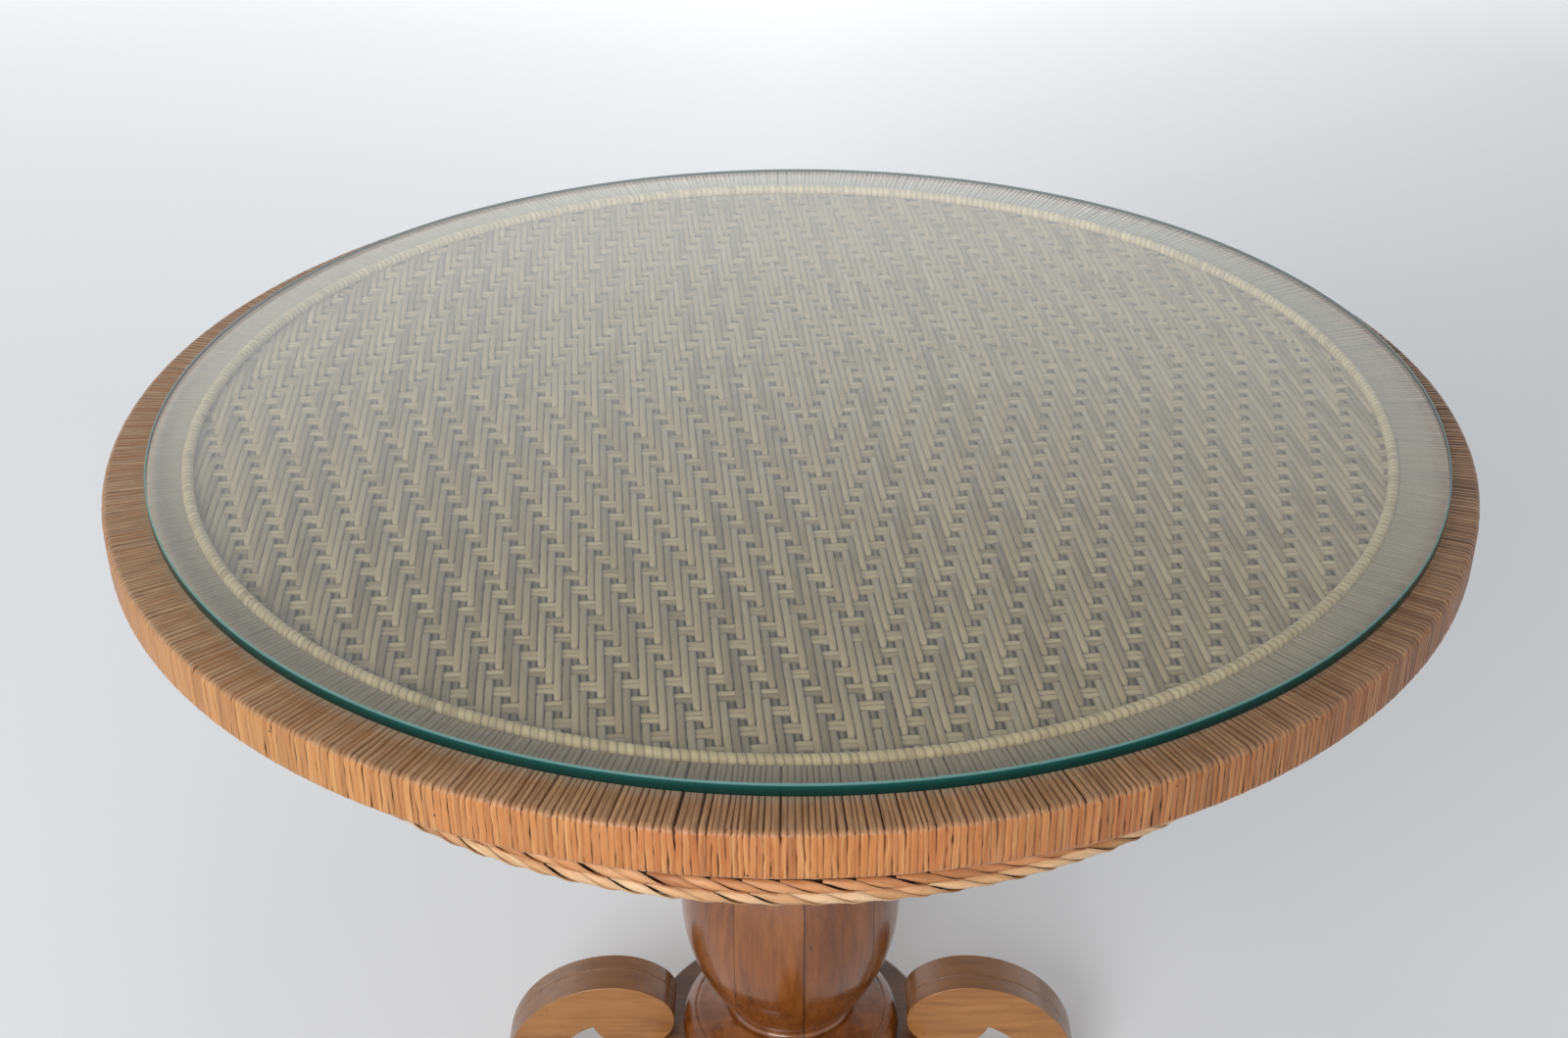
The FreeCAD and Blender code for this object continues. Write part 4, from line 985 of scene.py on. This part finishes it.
# Bead: a cord bound closely with narrow cane, laid in the corner between the weave and the rim.
# The glass rests on it. Its turns lean a little, and the grooves between them are darkened with painted
# shade.
BEAD_PITCH = 0.0057
BEAD_TURN = np.array([0.91, 0.97, 0.995, 1.0, 0.99, 0.955])
BEAD_GROOVE_SHADE = np.array([0.3, 0.92, 1.0, 1.0, 1.0, 0.9])
BEAD_SIDES = 10
BEAD_SKEW = 0.3
BEAD_SWELL = 0.00075
BEAD_DRIFT = 0.25
BEAD_UNEVEN = 0.03
BEAD_TONES = ((84, 66, 44), (206, 176, 134), (232, 204, 160))
BEAD_TONE_RANGE = (0.45, 0.85)
cord_radius = bead_radius + BEAD_SWELL


def bead_run():
    """The bound cord: a ring of turns, each with its own tone, drawn in and painted darker at the
    grooves as shade.
    """
    turns = round(2 * math.pi * bead_ring / BEAD_PITCH)
    per_turn = len(BEAD_TURN)
    steps = turns * per_turn
    drift = BEAD_DRIFT * chance.standard_normal(turns).repeat(per_turn)
    angle = (np.arange(steps) + drift) * 2 * math.pi / steps
    out = outward(angle)
    centre = out * bead_ring
    centre[:, 2] = bead_high.z - cord_radius
    swell = (1 - BEAD_UNEVEN * chance.random(turns)).repeat(per_turn)
    thick = cord_radius * np.tile(BEAD_TURN, turns) * swell
    tone = chance.uniform(*BEAD_TONE_RANGE, turns).repeat(per_turn) * np.tile(BEAD_GROOVE_SHADE, turns)
    up = np.tile(UPRIGHT, (steps, 1))
    yield centre, out + onward(angle) * BEAD_SKEW, up, thick, thick, tone


bead_cane = cane("bead_cane", BEAD_TONES, streak_share=0.12, fleck_share=0.3, edge_soil_and_shade=0.0)
bead_binding = sweep("bead_binding", round_section(BEAD_SIDES), bead_run(), closed=True)
finish_piece(bead_binding, bead_cane, "table", "bead_cane", "rim_bead")

# Glass: a loose disc of float glass with ground and polished edges, laid on the bead.
# Light passes its faces; its edge is seen through so much glass that it looks dark green. The edge is
# painted darker towards the bottom, with a painted highlight along the top bevel.
GLASS_SIDES = 256
GLASS_BEVEL = 0.0012
GLASS_SMOOTH = math.radians(20)
GLASS_TINT = (0.95, 0.985, 0.97, 1.0)
GLASS_IOR = 1.5
PASSING_TINT = (0.9, 0.95, 0.93, 1.0)
EDGE_STOPS_WITH_HIGHLIGHT = ((0.0, (4, 38, 34)), (0.5, (10, 56, 50)), (0.84, (18, 78, 72)), (1.0, (120, 160, 154)))
LEVEL_FACE = 0.99
glass_low, glass_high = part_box("glass_top")
bpy.ops.object.select_all(action="DESELECT")
bpy.ops.mesh.primitive_cylinder_add(
    vertices=GLASS_SIDES, radius=(glass_high.x - glass_low.x) / 2, depth=glass_high.z - glass_low.z,
    location=(glass_low + glass_high) / 2,
)
glass = bpy.context.object
glass.name = "glass_disc"
bpy.ops.object.transform_apply(location=True)
bpy.ops.object.mode_set(mode="EDIT")
bpy.ops.mesh.select_all(action="DESELECT")
bpy.ops.object.mode_set(mode="OBJECT")
for edge in glass.data.edges:
    ends = [glass.data.vertices[index].co.z for index in edge.vertices]
    edge.select = abs(ends[0] - ends[1]) < GLASS_BEVEL
bpy.ops.object.mode_set(mode="EDIT")
bpy.ops.mesh.bevel(offset=GLASS_BEVEL, segments=2)
bpy.ops.object.mode_set(mode="OBJECT")
bpy.ops.object.shade_smooth_by_angle(angle=GLASS_SMOOTH)

clear_glass, tree, shade = new_material("clear_glass")
shade.inputs["Base Color"].default_value = GLASS_TINT
shade.inputs["Transmission Weight"].default_value = 1.0
shade.inputs["Roughness"].default_value = 0.0
shade.inputs["IOR"].default_value = GLASS_IOR
passing = shader(tree, "BsdfTransparent", {"Color": PASSING_TINT})
rays = shader(tree, "LightPath")
lamp_or_bounce = maths(tree, "MAXIMUM", rays.outputs["Is Shadow Ray"], rays.outputs["Is Diffuse Ray"])
choice = shader(tree, "MixShader", {0: lamp_or_bounce, 1: shade.outputs[0], 2: passing.outputs[0]})
tree.links.new(choice.outputs[0], tree.nodes["Material Output"].inputs["Surface"])

edge_glass, tree, shade = new_material("edge_glass")
rise = spread(tree, split(tree, own_place(tree))[2], glass_low.z, glass_high.z)
# Dark green rising towards the top, with a painted highlight on the top bevel.
edge_colour_with_highlight = ramp(tree, rise, [(place, paint(*tone)) for place, tone in EDGE_STOPS_WITH_HIGHLIGHT])
tree.links.new(edge_colour_with_highlight, shade.inputs["Base Color"])
shade.inputs["Roughness"].default_value = 0.25
shade.inputs["Specular IOR Level"].default_value = 0.2

finish_piece(glass, clear_glass, "glass", "glass", "glass_top")
glass.data.materials.append(edge_glass)
for face in glass.data.polygons:
    face.material_index = 0 if abs(face.normal.z) > LEVEL_FACE else 1

# Floor: a plain pale paper sweep that turns up into a round backdrop far from the table.
# Seen straight it glows a little as painted light, more with its distance, and painted shade darkens it
# beside the table behind it and towards the right.
FLOOR_RADIUS = 7.0
FLOOR_SIDES = 96
SWEEP_RADIUS = 3.0
SWEEP_STEPS = 10
FLOOR_COLOUR = (226, 228, 232)
GLOW_COLOUR = (0.97, 0.98, 1.0, 1.0)
FAR_GLOW = (0.22, 0.95)
FAR_START = 0.6
RIGHT_PAINTED_SHADE = (0.075, -0.12)
RIGHT_REACH = 2.0
SIDE_PAINTED_SHADE = (0.0, -0.28)
SIDE_REACH = 3.0
BEHIND_REACH = 1.5
NEAR_END = (3.6, 6.0)
TOP_GLOW = (0.0, 0.1)


def seen_straight(tree):
    """One for rays from the camera, reflections and through glass, and none for light that bounces."""
    rays = shader(tree, "LightPath").outputs
    seen = maths(tree, "MAXIMUM", rays["Is Camera Ray"], rays["Is Glossy Ray"])
    return maths(tree, "MAXIMUM", seen, rays["Is Transmission Ray"])


bpy.ops.object.select_all(action="DESELECT")
bpy.ops.mesh.primitive_circle_add(
    vertices=FLOOR_SIDES, radius=FLOOR_RADIUS, fill_type="NGON", location=(0, 0, 0),
)
floor = bpy.context.object
floor.name = "floor"
bpy.ops.object.mode_set(mode="EDIT")
for step in range(SWEEP_STEPS):
    before, after = (math.pi / 2 * part / SWEEP_STEPS for part in (step, step + 1))
    growth = SWEEP_RADIUS * (math.sin(after) - math.sin(before))
    reach = FLOOR_RADIUS + SWEEP_RADIUS * math.sin(before)
    climb = SWEEP_RADIUS * (math.cos(before) - math.cos(after))
    bpy.ops.mesh.extrude_region()
    bpy.ops.transform.resize(value=((reach + growth) / reach,) * 2 + (1,))
    bpy.ops.transform.translate(value=(0, 0, climb))
bpy.ops.mesh.delete(type="ONLY_FACE")
bpy.ops.object.mode_set(mode="OBJECT")
bpy.ops.object.shade_smooth()
paper, tree, shade = new_material("pale_paper")
shade.inputs["Base Color"].default_value = paint(*FLOOR_COLOUR)
shade.inputs["Roughness"].default_value = 0.9
shade.inputs["Specular IOR Level"].default_value = 0.1
shade.inputs["Emission Color"].default_value = GLOW_COLOUR
place = own_place(tree)
sideways, backwards, upwards = split(tree, place)
off_middle = from_axis(tree, place)
# Painted shade beside the table behind it and towards the right, fading out far away; the glow is
# painted light.
near = spread(tree, maths(tree, "ABSOLUTE", sideways), 0.0, SIDE_REACH, *SIDE_PAINTED_SHADE)
near = times(tree, near, spread(tree, backwards, 0.0, BEHIND_REACH))
near = maths(tree, "ADD", near, spread(tree, sideways, -RIGHT_REACH, RIGHT_REACH, *RIGHT_PAINTED_SHADE))
near = times(tree, near, spread(tree, off_middle, *NEAR_END, 1.0, 0.0))
glow = maths(tree, "ADD", near, spread(tree, off_middle, FAR_START, FLOOR_RADIUS, *FAR_GLOW))
glow = maths(tree, "ADD", glow, spread(tree, upwards, 0.0, SWEEP_RADIUS, *TOP_GLOW))
tree.links.new(times(tree, glow, seen_straight(tree)), shade.inputs["Emission Strength"])
floor.data.materials.append(paper)

# Light: a large soft box in front on the left, a weak one low behind, and a pale room all round.
# The room is brighter on the left, and reflections show it brightest a little above level.
LAMP_AIM = (0.0, 0.0, 0.6)
LAMPS = (
    ("soft_box", (-2.0, -5.1, 3.2), 2.8, 258.0),
    ("back_fill", (0.4, 5.8, 1.1), 1.6, 36.0),
)
ROOM_COLOUR = (0.965, 0.995, 1.005, 1.0)
ROOM_LIGHT = 0.33
ROOM_SLANT = 0.25
ROOM_GLOW = ((0.0, 0.9), (0.28, 0.95), (0.36, 1.48), (0.44, 1.19), (0.52, 0.78), (0.6, 0.57), (1.0, 0.5))
ROOM_TILT = 0.4
GLOW_SCALE = 2.0


def slanted(tree, sideways, level, share):
    """A level that is higher by a share on the left, and lower by it on the right."""
    return spread(tree, sideways, -1.0, 1.0, level * (1 + share), level * (1 - share))


for name, spot, size, power in LAMPS:
    lamp = bpy.data.lights.new(name, "AREA")
    lamp.energy = power
    lamp.size = size
    stand = bpy.data.objects.new(name, lamp)
    bpy.context.scene.collection.objects.link(stand)
    stand.location = spot
    stand.rotation_euler = (Vector(LAMP_AIM) - Vector(spot)).to_track_quat("-Z", "Y").to_euler()
world = bpy.data.worlds.new("pale_room")
bpy.context.scene.world = world
world.use_nodes = True
tree = world.node_tree
sky = tree.nodes["Background"]
sky.inputs["Color"].default_value = ROOM_COLOUR
facing = split(tree, shader(tree, "TexCoord").outputs["Generated"])
glow = ramp(tree, facing[2], [(place, (level / GLOW_SCALE,) * 3 + (1.0,)) for place, level in ROOM_GLOW])
glow = times(tree, glow, slanted(tree, facing[0], GLOW_SCALE, ROOM_TILT))
light = slanted(tree, facing[0], ROOM_LIGHT, ROOM_SLANT)
lit = shader(tree, "Mix", {0: seen_straight(tree), 2: light, 3: glow})
tree.links.new(lit.outputs[0], sky.inputs["Strength"])

# Camera: a standing view down on the table, with the photograph's lens and tilt.
# Its place was found by fitting the two outlines of the rim.
CAMERA_PLACE = (0.0007, -1.4902, 1.5179)
CAMERA_TILT = math.radians(59.68)
CAMERA_TURN = 0.0038
CAMERA_ROLL = -0.003
SENSOR_WIDTH = 36.0
IMAGE_WIDTH = 1600
FOCAL_PIXELS = 2130.8
lens = bpy.data.cameras.new("view")
lens.sensor_width = SENSOR_WIDTH
lens.lens = FOCAL_PIXELS / IMAGE_WIDTH * SENSOR_WIDTH
camera = bpy.data.objects.new("view", lens)
bpy.context.scene.collection.objects.link(camera)
turned = Matrix.Rotation(CAMERA_TURN, 4, "Z") @ Matrix.Rotation(CAMERA_TILT, 4, "X")
camera.matrix_world = Matrix.Translation(CAMERA_PLACE) @ turned @ Matrix.Rotation(CAMERA_ROLL, 4, "Z")
bpy.context.scene.camera = camera
bpy.context.scene.view_settings.view_transform = "Standard"
